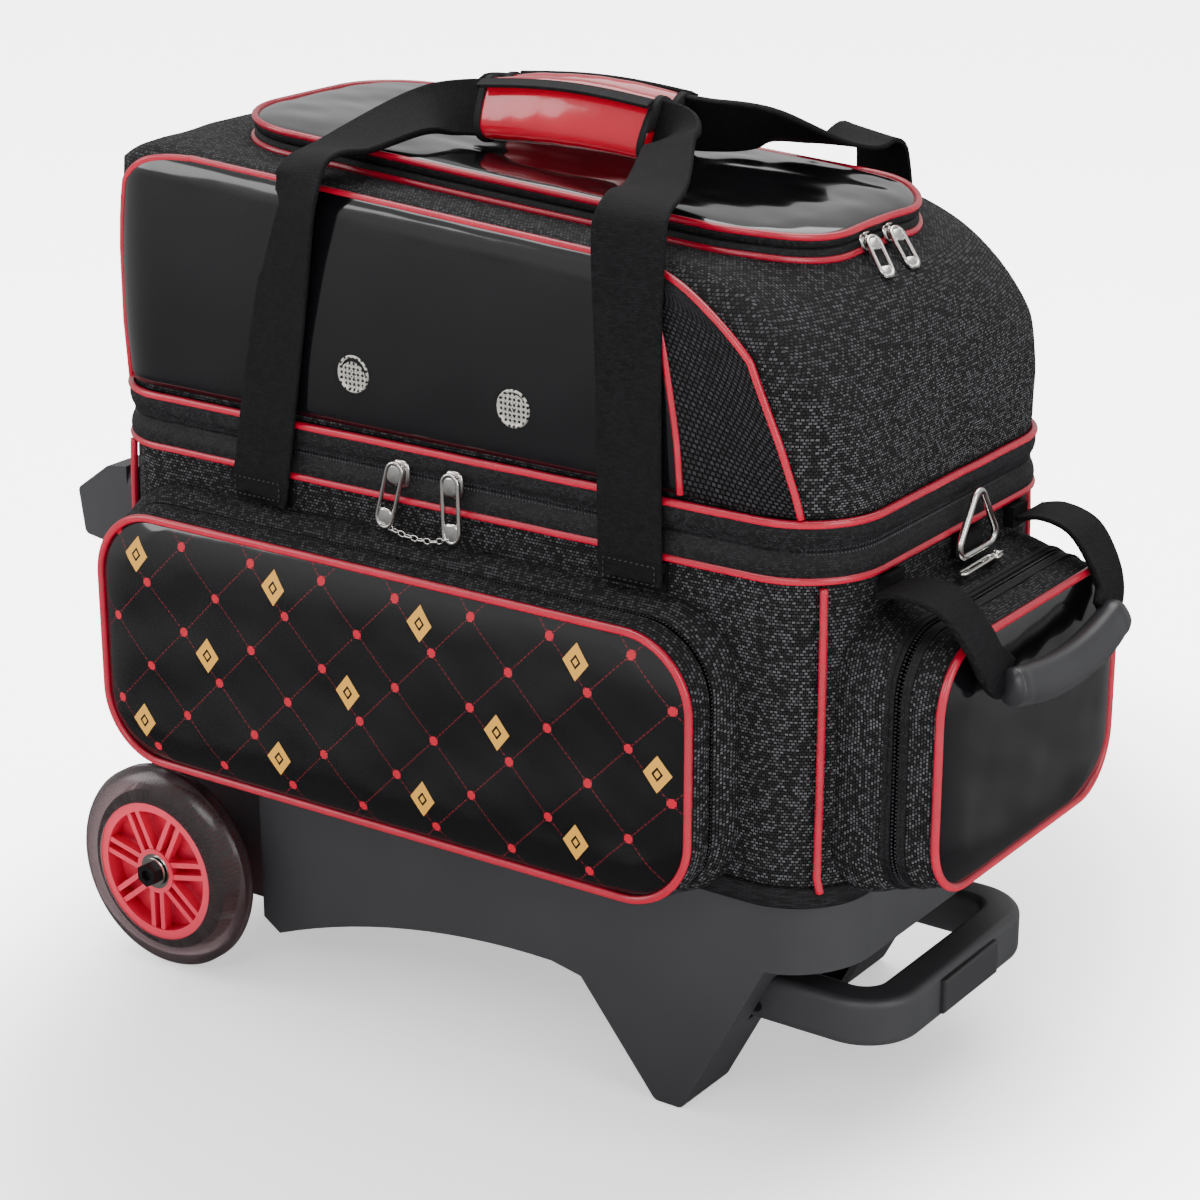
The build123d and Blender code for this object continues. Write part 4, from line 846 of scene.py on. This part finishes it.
def make_vents():
    """Domed nickel eyelets with a raised rim, pricked by dark dots in a hexagon: discs of painted shade where
    the holes are.
    """
    eyelets, dots = [], []
    # The eyelet's outline, as (radius, height): dome, groove, rim, and the foot behind the cloth.
    profile = np.array([(0.0, 1.7), (3.0, 1.65), (6.0, 1.45), (8.0, 1.15), (8.7, 1.1), (9.2, 1.9),
                        (9.9, 2.2), (10.5, 1.7), (10.6, 0.0), (9.0, -0.6), (0.0, -0.6)])
    turn = np.linspace(0, 2 * pi, 40, endpoint=False)
    flat = np.array([(1.75 * (a + b / 2), 1.52 * b) for a in range(-4, 5) for b in range(-4, 5)])
    flat = flat[np.hypot(flat[:, 0], flat[:, 1]) < 7.0]
    dome = 1.72 - 0.0085 * (flat ** 2).sum(1)
    # Each dot is a disc of eight sides; its faces are the wall, then three quads for either end.
    corner = np.linspace(0, 2 * pi, 8, endpoint=False)
    disc = np.stack([0.52 * np.cos(corner), 0 * corner, 0.52 * np.sin(corner)], 1)
    k = np.arange(8)
    cell = np.concatenate([np.stack([k, (k + 1) % 8, (k + 1) % 8 + 8, k + 8], 1),
                           [[0, 1, 2, 3], [0, 3, 4, 7], [4, 5, 6, 7]],
                           [[8, 9, 10, 11], [8, 11, 12, 15], [12, 13, 14, 15]]])
    dot_faces = (cell[None] + 16 * np.arange(len(flat))[:, None, None]).reshape(-1, 4)
    for side in (FRONT, BACK):
        ring = np.stack([profile[:, :1] * np.cos(turn), side * profile[:, 1:] + 0 * turn,
                         profile[:, :1] * np.sin(turn)], -1)
        top = np.stack([flat[:, 0], side * dome, flat[:, 1]], 1)[:, None] + disc
        both = np.concatenate([top, top - np.array([0, side * 0.4, 0])], 1)
        for x_at in (-54.0, 53.0):
            seat = wall_point(np.array([x_at]), np.array([0.31]), 2.2, side)[0]
            eyelets.append((ring + seat, grid_faces(len(profile), 40, wrap_columns=True)[0]))
            dots.append(((both + seat).reshape(-1, 3), dot_faces))
    vents = outward(join_shapes("vent_eyelets", eyelets, "lid", satin_nickel))
    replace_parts(vents, "vents")
    # The dark dots are painted shade that stands in for the vent's holes.
    outward(join_shapes("vent_hole_shade_dots", dots, "lid", button_plastic, smooth=False))


def make_shoe_zip():
    """The two tapes round the shoe opening, their cords and their coils."""
    count = 360

    def ring(grow, lift):
        """The opening's outline moved out and lifted off the roof, and the way out from it."""
        line, out = opening_line(count, grow)
        z = roof_height(line[:, 0], line[:, 1]) + lift
        return np.concatenate([line, z[:, None]], 1), np.concatenate([out, np.zeros((count, 1))], 1)

    # Each tape's outline, as (distance out of the opening, height over the roof).
    lower = ((-7.5, -1.5), (0.8, 0.3), (1.2, 1.5), (0.9, 4.6), (-0.8, 6.0))
    upper = ((-0.8, 6.6), (0.9, 8.0), (1.2, 11.0), (0.2, 12.4))
    for name, body, steps in (("lower", "lid", lower), ("upper", "shoe_flap", upper)):
        sheet = np.stack([ring(grow, lift)[0] for grow, lift in steps])
        band = surface("shoe_zip_" + name, sheet, body, zip_tape, wrap_columns=True)
        thicken(band, 1.2)
        if name == "lower":
            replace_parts(band, "shoe_zip_tape")
    for name, body, grow, lift in (("lower", "lid", 2.4, 0.8), ("upper", "shoe_flap", 1.6, 12.6)):
        piped("shoe_cord_" + name, ring(grow, lift)[0], 2.0, (0, 0, 1), body, closed=True)
    for name, body, lift in (("lower", "lid", 5.3), ("upper", "shoe_flap", 7.3)):
        path, facing = ring(0.9, lift)
        coil_teeth("shoe_coil_" + name, path, facing, body)


def rounded_reach(half_x, half_y, radius, y):
    """How far a rounded rectangle reaches along x at each y."""
    past = np.clip(np.abs(y) - (half_y - radius), 0, radius)
    return half_x - radius + np.sqrt(np.clip(radius ** 2 - past ** 2, 0, None))


def crowded(count, share):
    """Numbers from -1 to 1 that stand closer together towards both ends, by a sine's share."""
    return np.sin(np.linspace(-pi / 2, pi / 2, count) * share) / np.sin(pi / 2 * share)


def make_shoe_flap():
    """The padded patent flap: two sheets joined at the rim, the upper one domed, folded and rippled."""
    rows, columns = 70, 150
    y = crowded(rows, 1.0)[:, None] * FLAP_D
    a = crowded(columns, 0.98)[None]
    x = FLAP_X + rounded_reach(FLAP_L, FLAP_D, FLAP_R, y) * a
    y = np.broadcast_to(y, x.shape)
    far = (1 - np.abs(a) ** 6) * (1 - np.abs(y / FLAP_D) ** 6)
    folds = 0.9 * noise(x * 0.8, y * 1.6) + 0.5 * noise(y * 2.4, x * 1.2)
    top = roof_height(x, y) + 12.0 + 4.6 * far ** 0.4 + folds * far ** 0.5
    low = roof_height(x, y) + 6.8
    points = np.stack([np.stack([x, y, low], -1), np.stack([x, y, top], -1)])
    faces, _ = grid_faces(rows, columns)
    total = rows * columns
    number = np.arange(total).reshape(rows, columns)
    rim = np.concatenate([number[0], number[1:, -1], number[-1, -2::-1], number[-2:0:-1, 0]])
    after = np.roll(rim, -1)
    sides = np.stack([rim, after, after + total, rim + total], 1)
    faces = np.concatenate([faces[:, ::-1], faces + total, sides])
    flap = outward(mesh_piece("shoe_flap_top", points, faces, "shoe_flap", patent))
    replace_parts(flap, "shoe_flap")


make_lid()
make_lid_sides()
make_vents()
make_shoe_zip()
make_shoe_flap()


# ---------------------------------------------------------------- pockets
# Each panel's corners, along the wall and up; how far its four edges widen towards the wall; its
# corner radius, its distance from the wall, how far its gusset starts inside the wall, and its bulge.
FRONT_POCKET = {"low": (-225.0, 142.0), "high": (180.0, 291.0), "spread": (0.0, 10.0, 0.0, 10.0),
                "radius": 40.0, "depth": 29.5, "sunk": 6.0, "bulge": 6.5}
END_POCKET = {"low": (-100.0, 158.0), "high": (100.0, 292.0), "spread": (3.0, 3.0, 13.0, 10.4),
              "radius": 34.0, "depth": 50.0, "sunk": 9.0, "bulge": 4.5}


def pocket_edge(pocket, out, grow, count):
    """The pocket's outline at a distance from the wall: it widens towards the wall by its spread."""
    left, right, under, over = np.array(pocket["spread"]) * (1 - out / pocket["depth"])
    low = np.array(pocket["low"]) - [left, under]
    high = np.array(pocket["high"]) + [right, over]
    half_a, half_b = (high - low) / 2 + grow
    line, out_way = plan_line(half_a, half_b, pocket["radius"] + grow, count)
    return line + (low + high) / 2, out_way


def front_place(flat, out):
    """Outline coordinates and distance from the front wall, as points."""
    return np.stack([flat[..., 0], -HALF_D - np.broadcast_to(out, flat.shape[:-1]), flat[..., 1]], -1)


def end_place(flat, out):
    """Outline coordinates and distance from the end wall, as points."""
    return np.stack([HALF_L + np.broadcast_to(out, flat.shape[:-1]), flat[..., 0], flat[..., 1]], -1)


def make_pocket(name, pocket, place, panel_finish, facing, flip):
    """Sewn gusset, zip, opening cover, piping and bulging panel of one pocket."""
    count = 260
    deep = pocket["depth"]
    zip_at = 0.55 * deep
    puff = 1.0 + 0.8 * noise(np.linspace(0, 1100, count), 0)

    def band(start, stop, steps, swell, sink=0.0):
        """Rings from one distance to another, puffed out between the seams, sunk towards the last."""
        rings = []
        for t in np.linspace(0, 1, steps):
            out = start + (stop - start) * t
            line, out_way = pocket_edge(pocket, out, 0.0, count)
            grow = swell * np.sin(pi * t) * puff - sink * t ** 6
            rings.append(place(line + out_way * grow[:, None], out))
        return np.stack(rings)

    gusset = surface(name + "_gusset_cloth", band(-pocket["sunk"], zip_at - 1.6, 12, 2.0, 0.8), "root",
                     woven, wrap_columns=True, flip=flip)
    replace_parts(gusset, name + "_gusset")
    thicken(gusset, 1.6)
    cover = surface(name + "_cover_cloth", band(zip_at + 1.8, deep - 0.5, 9, 1.0), name, woven,
                    wrap_columns=True, flip=flip)
    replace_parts(cover, name + "_cover")
    thicken(cover, 1.6)
    for part, at, rider, way in (("inner", zip_at - 1.0, "root", -1), ("outer", zip_at + 1.1, name, 1)):
        line, out_way = pocket_edge(pocket, at, -0.2, count)
        path = place(line, at)
        coil_teeth(name + "_coil_" + part, path, place(line + out_way, at) - path, rider)
        for step, (shift, grow) in enumerate(((2.2, 0.5), (4.6, 0.9))):
            off = at + way * shift
            line, out_way = pocket_edge(pocket, off, grow, count)
            ridge = place(line, off)
            sweep(name + "_tape_" + part + "_" + str(step + 1), ridge, webbing_section(2.6, 1.1),
                  place(line + out_way, off) - ridge, rider, zip_tape, closed=True)
    line, _ = pocket_edge(pocket, deep, 0.6, 300)
    cord = piped(name + "_cord", place(line, deep + 1.2), 2.3, facing, name, closed=True)
    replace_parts(cord, name + "_piping")

    low, high = np.array(pocket["low"]), np.array(pocket["high"])
    half_a, half_b = (high - low) / 2
    b = crowded(64, 1.0)[:, None] * half_b
    reach = rounded_reach(half_a, half_b, pocket["radius"], b)
    a = reach * crowded(130, 0.97)
    b = np.broadcast_to(b, a.shape)
    flat = np.stack([a, b], -1) + (low + high) / 2
    near = np.clip((half_b - np.abs(b)) / 26, 0, 1) * np.clip((reach - np.abs(a)) / 26, 0, 1)
    rise = pocket["bulge"] * np.sin(pi / 2 * near) ** 0.6
    ripple = (0.9 * noise(flat[..., 0] * 0.75, flat[..., 1] * 1.1)
              + 0.35 * noise(flat[..., 1] * 2.0, flat[..., 0] * 1.6))
    panel = surface(name + "_panel_skin", place(flat, deep - 0.6 + rise + ripple * near), name,
                    panel_finish, flip=not flip)
    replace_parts(panel, name + "_panel")
    thicken(panel, 1.4)


make_pocket("front_pocket", FRONT_POCKET, front_place, printed, (0, -1, 0), flip=False)
make_pocket("end_pocket", END_POCKET, end_place, patent, (1, 0, 0), flip=True)


# ---------------------------------------------------------------- carry handles
STRAP_OUT = 6.4   # from the body's wall to the middle of a carry strap
GRIP_Y = 30.0     # from the bag's middle to a carry grip


def thread_row(name, path, facing, body, pitch=3.2):
    """Stitches: small rounded threads end to end along a line."""
    bead_row(name, path, facing, body, pitch, (2.2, 0.7, 0.6), 2.0)


def stitch_box(name, at, side):
    """The oblong of stitches where a strap is sewn down."""
    steps = ((-16, -6), (16, -6), (16, 4), (-16, 4), (-16, -6))
    corners = np.array([(at[0] + across, at[1], at[2] + up) for across, up in steps])
    thread_row(name, even(corners, 60), (0, side, 0), "root")


def strap_path(side, x_low, x_high, x_grip, grip_z):
    """Up the wall, over the shoulder and in to the grip, with the direction that its face looks in."""
    out = HALF_D + STRAP_OUT
    inward = 1 if x_high < 20 else -1
    points = [
        (x_low, side * out, 309.0), ((x_low + x_high) / 2, side * (out + 0.6), 400.0),
        (x_high, side * out, 482.0), (x_high + inward * 2, side * (out - 9), 503.0),
        (x_high + inward * 9, side * (out - 38), grip_z - 13),
        (x_high + inward * 26, side * (GRIP_Y + 24), grip_z - 1),
        (x_grip - inward * 14, side * (GRIP_Y + 5), grip_z + 1),
        (x_grip + inward * 8, side * GRIP_Y, grip_z + 2),
    ]
    faces = [(0, side, 0), (0, side, 0), (0, side, 0.05), (0, side, 0.5),
             (-inward * 0.1, side * 0.85, 0.75), (-inward * 0.3, side * 0.8, 0.8),
             (-inward * 0.1, side * 0.9, 0.6), (0, side, 0.3)]
    return smooth_path(points, 90), unit(smooth_path(faces, 90))


def make_handle(place, side, left_shoulder, grip_x, grip_z, top_body):
    """Two webbing straps that meet at a padded patent grip with a bound edge. A strap narrows and
    thickens as it folds into the grip, and turns over the shoulder; it rides on no body."""
    for name, x_low, x_high, x_grip in (("left", -123.5, left_shoulder, grip_x[0]),
                                        ("right", 128.0, 126.0, grip_x[1])):
        path, face = strap_path(side, x_low, x_high, x_grip, grip_z)
        if side == BACK:
            above = path[:, 2] > SPLIT_Z + 4
            path, face = path[above], face[above]
        share = np.clip((path[:, 2] - 495) / 40, 0, 1)
        section = webbing_section(40.0, 2.4) * np.stack([1 - 0.3 * share, 1 + 1.6 * share], 1)[:, None]
        strap = sweep(place + "_strap_" + name, path, section, face, None, webbing)
        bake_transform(strap)
        if name == "left":
            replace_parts(strap, place + "_straps")
        if side == FRONT:
            stitch_box(place + "_box_stitch_" + name, (x_low, side * (HALF_D + 8.0), 316.0), side)
    t = np.linspace(0, 1, 60)
    x = grip_x[0] + (grip_x[1] - grip_x[0]) * t
    path = np.stack([x, np.full(60, side * GRIP_Y), grip_z + 3.5 * np.sin(pi * t) + 1.0], 1)
    plump = 0.9 + 0.1 * np.sin(pi * t) ** 0.5 + 0.025 * noise(x * 2.2, 0)
    section = round_section(18.5, 10.5, 28, 2.7) * plump[:, None, None]
    wrap = sweep(place + "_grip_wrap", path, section, (0, side, 0.55), top_body, red_patent)
    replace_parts(wrap, place + "_grip")
    for end, ring in (("left", path[:3]), ("right", path[-3:])):
        sweep(place + "_grip_binding_" + end, smooth_path(ring, 6), round_section(18.6, 10.8, 28, 2.7),
              (0, side, 0.55), top_body, binding)
    sweep(place + "_grip_seam", path + np.array([0, side * 7.2, 15.2]), webbing_section(7.0, 2.2),
          (0, side * 0.4, 1.0), top_body, binding)
    thread_row(place + "_grip_stitch", path[3:-3] + np.array([0, side * 9.0, -12.5]), (0, side, -0.4),
               top_body, pitch=4.0)


make_handle("front", FRONT, -90.0, (-34.0, 78.0), 522.0, "front_loop")
make_handle("back", BACK, -106.0, (-58.0, 58.0), 514.0, "back_loop")


# ---------------------------------------------------------------- end handle
def make_grab_handle():
    """Folded webbing from the tub's end to a moulded grip, bowed out, with four slanting slots."""
    for name, side in (("front", FRONT), ("back", BACK)):
        y = side * 77.3
        points = [(252.5, y, 314.8), (268, y, 317.5), (287, y - side * 2, 312.5),
                  (301, y - side * 5, 296), (307, y - side * 9, 282), (309, y - side * 20, 272)]
        faces = [(0, 0, 1), (0, 0, 1), (0.5, 0, 0.9), (0.95, 0, 0.35), (1, 0, 0.1), (1, 0, 0)]
        share = np.linspace(0, 1, 50)
        narrowing = np.stack([1 - 0.28 * share ** 2, 1 + 1.2 * share ** 2], 1)[:, None]
        strap = sweep("grab_strap_" + name, smooth_path(points, 50), webbing_section(33.0, 2.6) * narrowing,
                      unit(smooth_path(faces, 50)), "grab_handle", webbing)
        if side == FRONT:
            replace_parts(strap, "grab_straps")
    t = np.linspace(-1, 1, 80)
    path = np.stack([315.5 + 3.0 * (1 - t ** 2), 61 * t, 271.0 - 7.5 * (1 - t ** 2) + 1.5 * t], 1)
    swell = 0.86 + 0.14 * (1 - np.abs(t) ** 4) + 0.05 * np.exp(-((np.abs(t) - 0.93) / 0.05) ** 2)
    section = round_section(11.0, 9.0, 28, 2.5) * swell[:, None, None]
    grip = sweep("grab_grip_moulding", path, section, (1, 0, 0.4), "grab_handle", grip_plastic)
    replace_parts(grip, "grab_grip")
    slots = []
    points, faces = bead((11.0, 2.4, 1.6), 2.6, 6, 10)
    lean = unit(np.array([[0.25, 0.45, 0.9]]))
    across = unit(np.cross(lean, [[1, 0, 0.25]]))
    for k in range(4):
        at = np.array([[323.2 - 0.4 * k, -34.0 + 6.5 * k, 262.0 - 0.6 * k]])
        slots.append(copies(points, faces, at, lean, across, np.array([[0.97, 0, 0.25]])))
    join_shapes("grab_grip_slots", slots, "grab_handle", button_plastic)


make_grab_handle()


# ---------------------------------------------------------------- sliders, pulls and chain
def stadium(width, length):
    """A long loop: two straight runs joined by half circles, hanging from its top at the origin."""
    r = width / 2
    turn = np.linspace(0, pi, 10)
    top = np.stack([r * np.cos(turn), -r + r * np.sin(turn)], 1)
    low = np.stack([-r * np.cos(turn), -length + r - r * np.sin(turn)], 1)
    return even(np.concatenate([top, low, top[:1]]), 36, closed=True)


def pull_loop(name, top, across, down, face, width, length, body, thick):
    """A slotted pull: a flattened loop, a solid lower end and a bridge over its slot."""
    across, down, face = (unit(np.array(v, float)) for v in (across, down, face))
    top = np.array(top, float)
    flat = stadium(width - 2.0, length - 2.0)
    path = top + flat[:, :1] * across - flat[:, 1:] * down
    loop = sweep(name, path, round_section(1.15, thick, 8, 2.6), face, body, nickel, closed=True)
    points, faces = bead((width - 1.5, length * 0.3, 1.3 * thick), 3.0, 6, 14)
    plates = [copies(points, faces, (top + down * length * share)[None], across[None], down[None], face[None])
              for share in (0.17, 0.82)]
    join_shapes(name + "_plates", plates, body, nickel)
    return loop


def slider_body(name, at, x_dir, y_dir, z_dir, size, body):
    """A cast slider: a waisted body, its bridge, and the pin that carries the pull."""
    main, faces = bead(size, 3.0, 8, 14)
    bridge, bridge_faces = bead((size[0] * 0.32, size[1] * 0.9, size[2] * 0.72), 2.4, 6, 10)
    pin, pin_faces = bead((size[0] * 0.85, 1.6, 1.6), 2.4, 5, 8)
    at = np.array([at], float)
    x_dir, y_dir, z_dir = (unit(np.array([v], float)) for v in (x_dir, y_dir, z_dir))
    pin_at = at + y_dir * size[1] * 0.8 + z_dir * size[2] * 0.33
    parts = [copies(main, faces, at, x_dir, y_dir, z_dir),
             copies(bridge, bridge_faces, at + y_dir * size[1] * 0.45, x_dir, y_dir, z_dir),
             copies(pin, pin_faces, pin_at, x_dir, y_dir, z_dir)]
    return join_shapes(name, parts, body, nickel)


def make_chain(start, end):
    """Oval wire links in a sagging line, each turned a quarter from the one before."""
    line = smooth_path([start, start + (end - start) * 0.3 + np.array([0, 0, -4.0]),
                        start + (end - start) * 0.7 + np.array([0, 0, -4.5]), end], 12)
    along = tangents(line, False)
    turn = np.linspace(0, 2 * pi, 14, endpoint=False)[:, None]
    wire = np.linspace(0, 2 * pi, 6, endpoint=False)[None, :, None]
    links = []
    for k, (middle, way) in enumerate(zip(line, along)):
        flat = unit(np.cross(way, [0, 1, 0])) if k % 2 else np.array([0, 1.0, 0])
        ring = middle + 2.6 * np.cos(turn) * way + 1.5 * np.sin(turn) * flat
        out = unit(ring - middle)[:, None]
        shape = ring[:, None] + 0.5 * (np.cos(wire) * out + np.sin(wire) * np.cross(way, flat))
        links.append((shape.reshape(-1, 3), grid_faces(14, 6, True, True)[0]))
    outward(join_shapes("pull_chain", links, "main_pulls", nickel))


def make_main_pulls():
    """The two sliders at the front of the zip band, their pulls, and the chain between the pulls."""
    front = -(HALF_D + 2.9)
    top = SPLIT_Z + 6.5
    tips = []
    for name, x, lean in (("left", -24.0, -0.24), ("right", 12.0, 0.06)):
        slider = slider_body("main_slider_" + name, (x, front, SPLIT_Z), (1, 0, 0), (0, -1, 0), (0, 0, 1),
                             (13.0, 4.8, 16.0), "root")
        loop = pull_loop("main_pull_" + name, (x, front - 4.2, top), (1, 0, lean), (lean, -0.05, -1),
                         (0, -1, 0), 12.5, 40.0, "main_pulls", 1.35)
        if name == "left":
            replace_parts(slider, "zip_sliders")
            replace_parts(loop, "main_pulls")
        tips.append(np.array([x + lean * 36, front - 6.0, top - 35.0]))
    make_chain(*tips)


def make_shoe_pulls():
    """The two sliders and pulls of the shoe opening, on the flap's end over the pull handle."""
    for name, y, lean in (("front", -18.0, -0.35), ("back", 6.0, -0.25)):
        x = FLAP_X + FLAP_L + 3.0
        z = float(roof_height(x, y))
        slider = slider_body("shoe_slider_" + name, (x, y, z + 5.0), (0, 1, 0), (0.75, 0, 0.5),
                             (-0.5, 0, 0.75), (9.0, 4.0, 11.0), "lid")
        loop = pull_loop("shoe_pull_" + name, (x + 3.8, y, z + 8.5), (0.3, 1, 0), (0.72, lean, -0.78),
                         (0.75, 0, 0.65), 10.0, 27.0, "shoe_pulls", 1.2)
        if name == "front":
            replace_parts(slider, "shoe_sliders")
            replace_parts(loop, "shoe_pulls")


def make_pocket_pulls():
    """The sliders of both pockets, and the end pocket's pull."""
    slider_body("end_pocket_slider", (260.0, 25.0, 305.5), (0, 1, 0), (0.1, 0, 1), (1, 0, -0.1),
                (9.0, 3.4, 7.0), "root")
    loop = pull_loop("end_pocket_pull", (260.0, 20.5, 306.5), (1, 0, 0), (0, -1, -0.02), (0, 0, 1),
                     6.0, 37.0, "pocket_pull", 0.8)
    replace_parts(loop, "pocket_pull")
    slider_body("front_pocket_slider", (-227.5, -(HALF_D + 19.0), 222.0), (0, 1, 0), (-1, 0, 0), (0, 0, 1),
                (5.0, 3.4, 11.0), "root")


make_main_pulls()
make_shoe_pulls()
make_pocket_pulls()


# ---------------------------------------------------------------- floor and light
def floor_glow(tree):
    """The floor's own light: low in an oval round the bag, a painted shadow that also lets its real
    shadow show, and rising smoothly to the brightness of the room."""
    # Painted shadow: the floor glows less in an oval round the bag.
    away = add(tree, "ShaderNodeVectorMath", {"operation": "LENGTH"}, i0=where(tree, (4.2, 2.6, 1)))
    settings = {"interpolation_type": "SMOOTHSTEP", "From Min": 0.85, "From Max": 1.9,
                "To Min": 0.7, "To Max": 4.5}
    return add(tree, "ShaderNodeMapRange", settings, Value=away.outputs["Value"]).outputs[0]


def make_floor():
    """A pale floor 18 m across, half a millimetre under the wheels, that mirrors don't show."""
    x, y = np.meshgrid(np.linspace(-9, 9, 3), np.linspace(-9, 9, 3), indexing="ij")
    mesh = bpy.data.meshes.new("floor")
    points = np.stack([x, y, np.full(x.shape, -0.0006)], -1).reshape(-1, 3)
    mesh.from_pydata(points.tolist(), [], grid_faces(3, 3)[0].tolist())
    mesh.materials.append(finish_material(
        "pale_floor", color=linear("#f6f6f6"), rough=0.9, Emission_Color=linear("#ffffff"),
        Emission_Strength=floor_glow))
    floor = bpy.data.objects.new("floor", mesh)
    bpy.context.scene.collection.objects.link(floor)
    floor.visible_glossy = False


def make_room():
    """A room that is dim under the horizon and bright over it, and plain white to the camera."""
    world = bpy.data.worlds.new("room")
    world.use_nodes = True
    tree = world.node_tree
    sky = add(tree, "ShaderNodeTexCoord").outputs["Generated"]
    height = add(tree, "ShaderNodeSeparateXYZ", Vector=sky).outputs[2]
    settings = {"From Min": -0.5, "From Max": 0.15, "To Min": 0.12, "To Max": 0.9}
    share = add(tree, "ShaderNodeMapRange", settings, Value=height).outputs[0]
    camera_ray = add(tree, "ShaderNodeLightPath").outputs[0]
    seen = add(tree, "ShaderNodeMath", {"operation": "MULTIPLY", 1: 6.0}, i0=camera_ray).outputs[0]
    share = add(tree, "ShaderNodeMath", {"operation": "MAXIMUM"}, i0=share, i1=seen).outputs[0]
    background = tree.nodes["Background"]
    tree.links.new(share, background.inputs["Color"])
    background.inputs["Strength"].default_value = 0.75
    bpy.context.scene.world = world


def make_lamps():
    """Four soft oblong lamps, each looking at the middle of the bag: place, size in m, and watts."""
    lamps = (("overhead", (-0.3, 0.5, 2.6), (3.2, 2.4), 100),
             ("left_wash", (-2.3, -1.4, 1.7), (1.6, 1.6), 30),
             ("right_wash", (2.4, -0.6, 1.5), (1.2, 1.8), 26),
             ("front_wash", (0.7, -2.8, 2.3), (1.8, 1.0), 30))
    for name, at, size, watts in lamps:
        data = bpy.data.lights.new(name, "AREA")
        data.shape = "RECTANGLE"
        data.size, data.size_y = size
        data.energy = watts
        lamp = bpy.data.objects.new(name, data)
        bpy.context.scene.collection.objects.link(lamp)
        lamp.location = at
        lamp.rotation_euler = (Vector((0, 0, 0.25)) - Vector(at)).to_track_quat("-Z", "Y").to_euler()


make_floor()
make_room()
make_lamps()
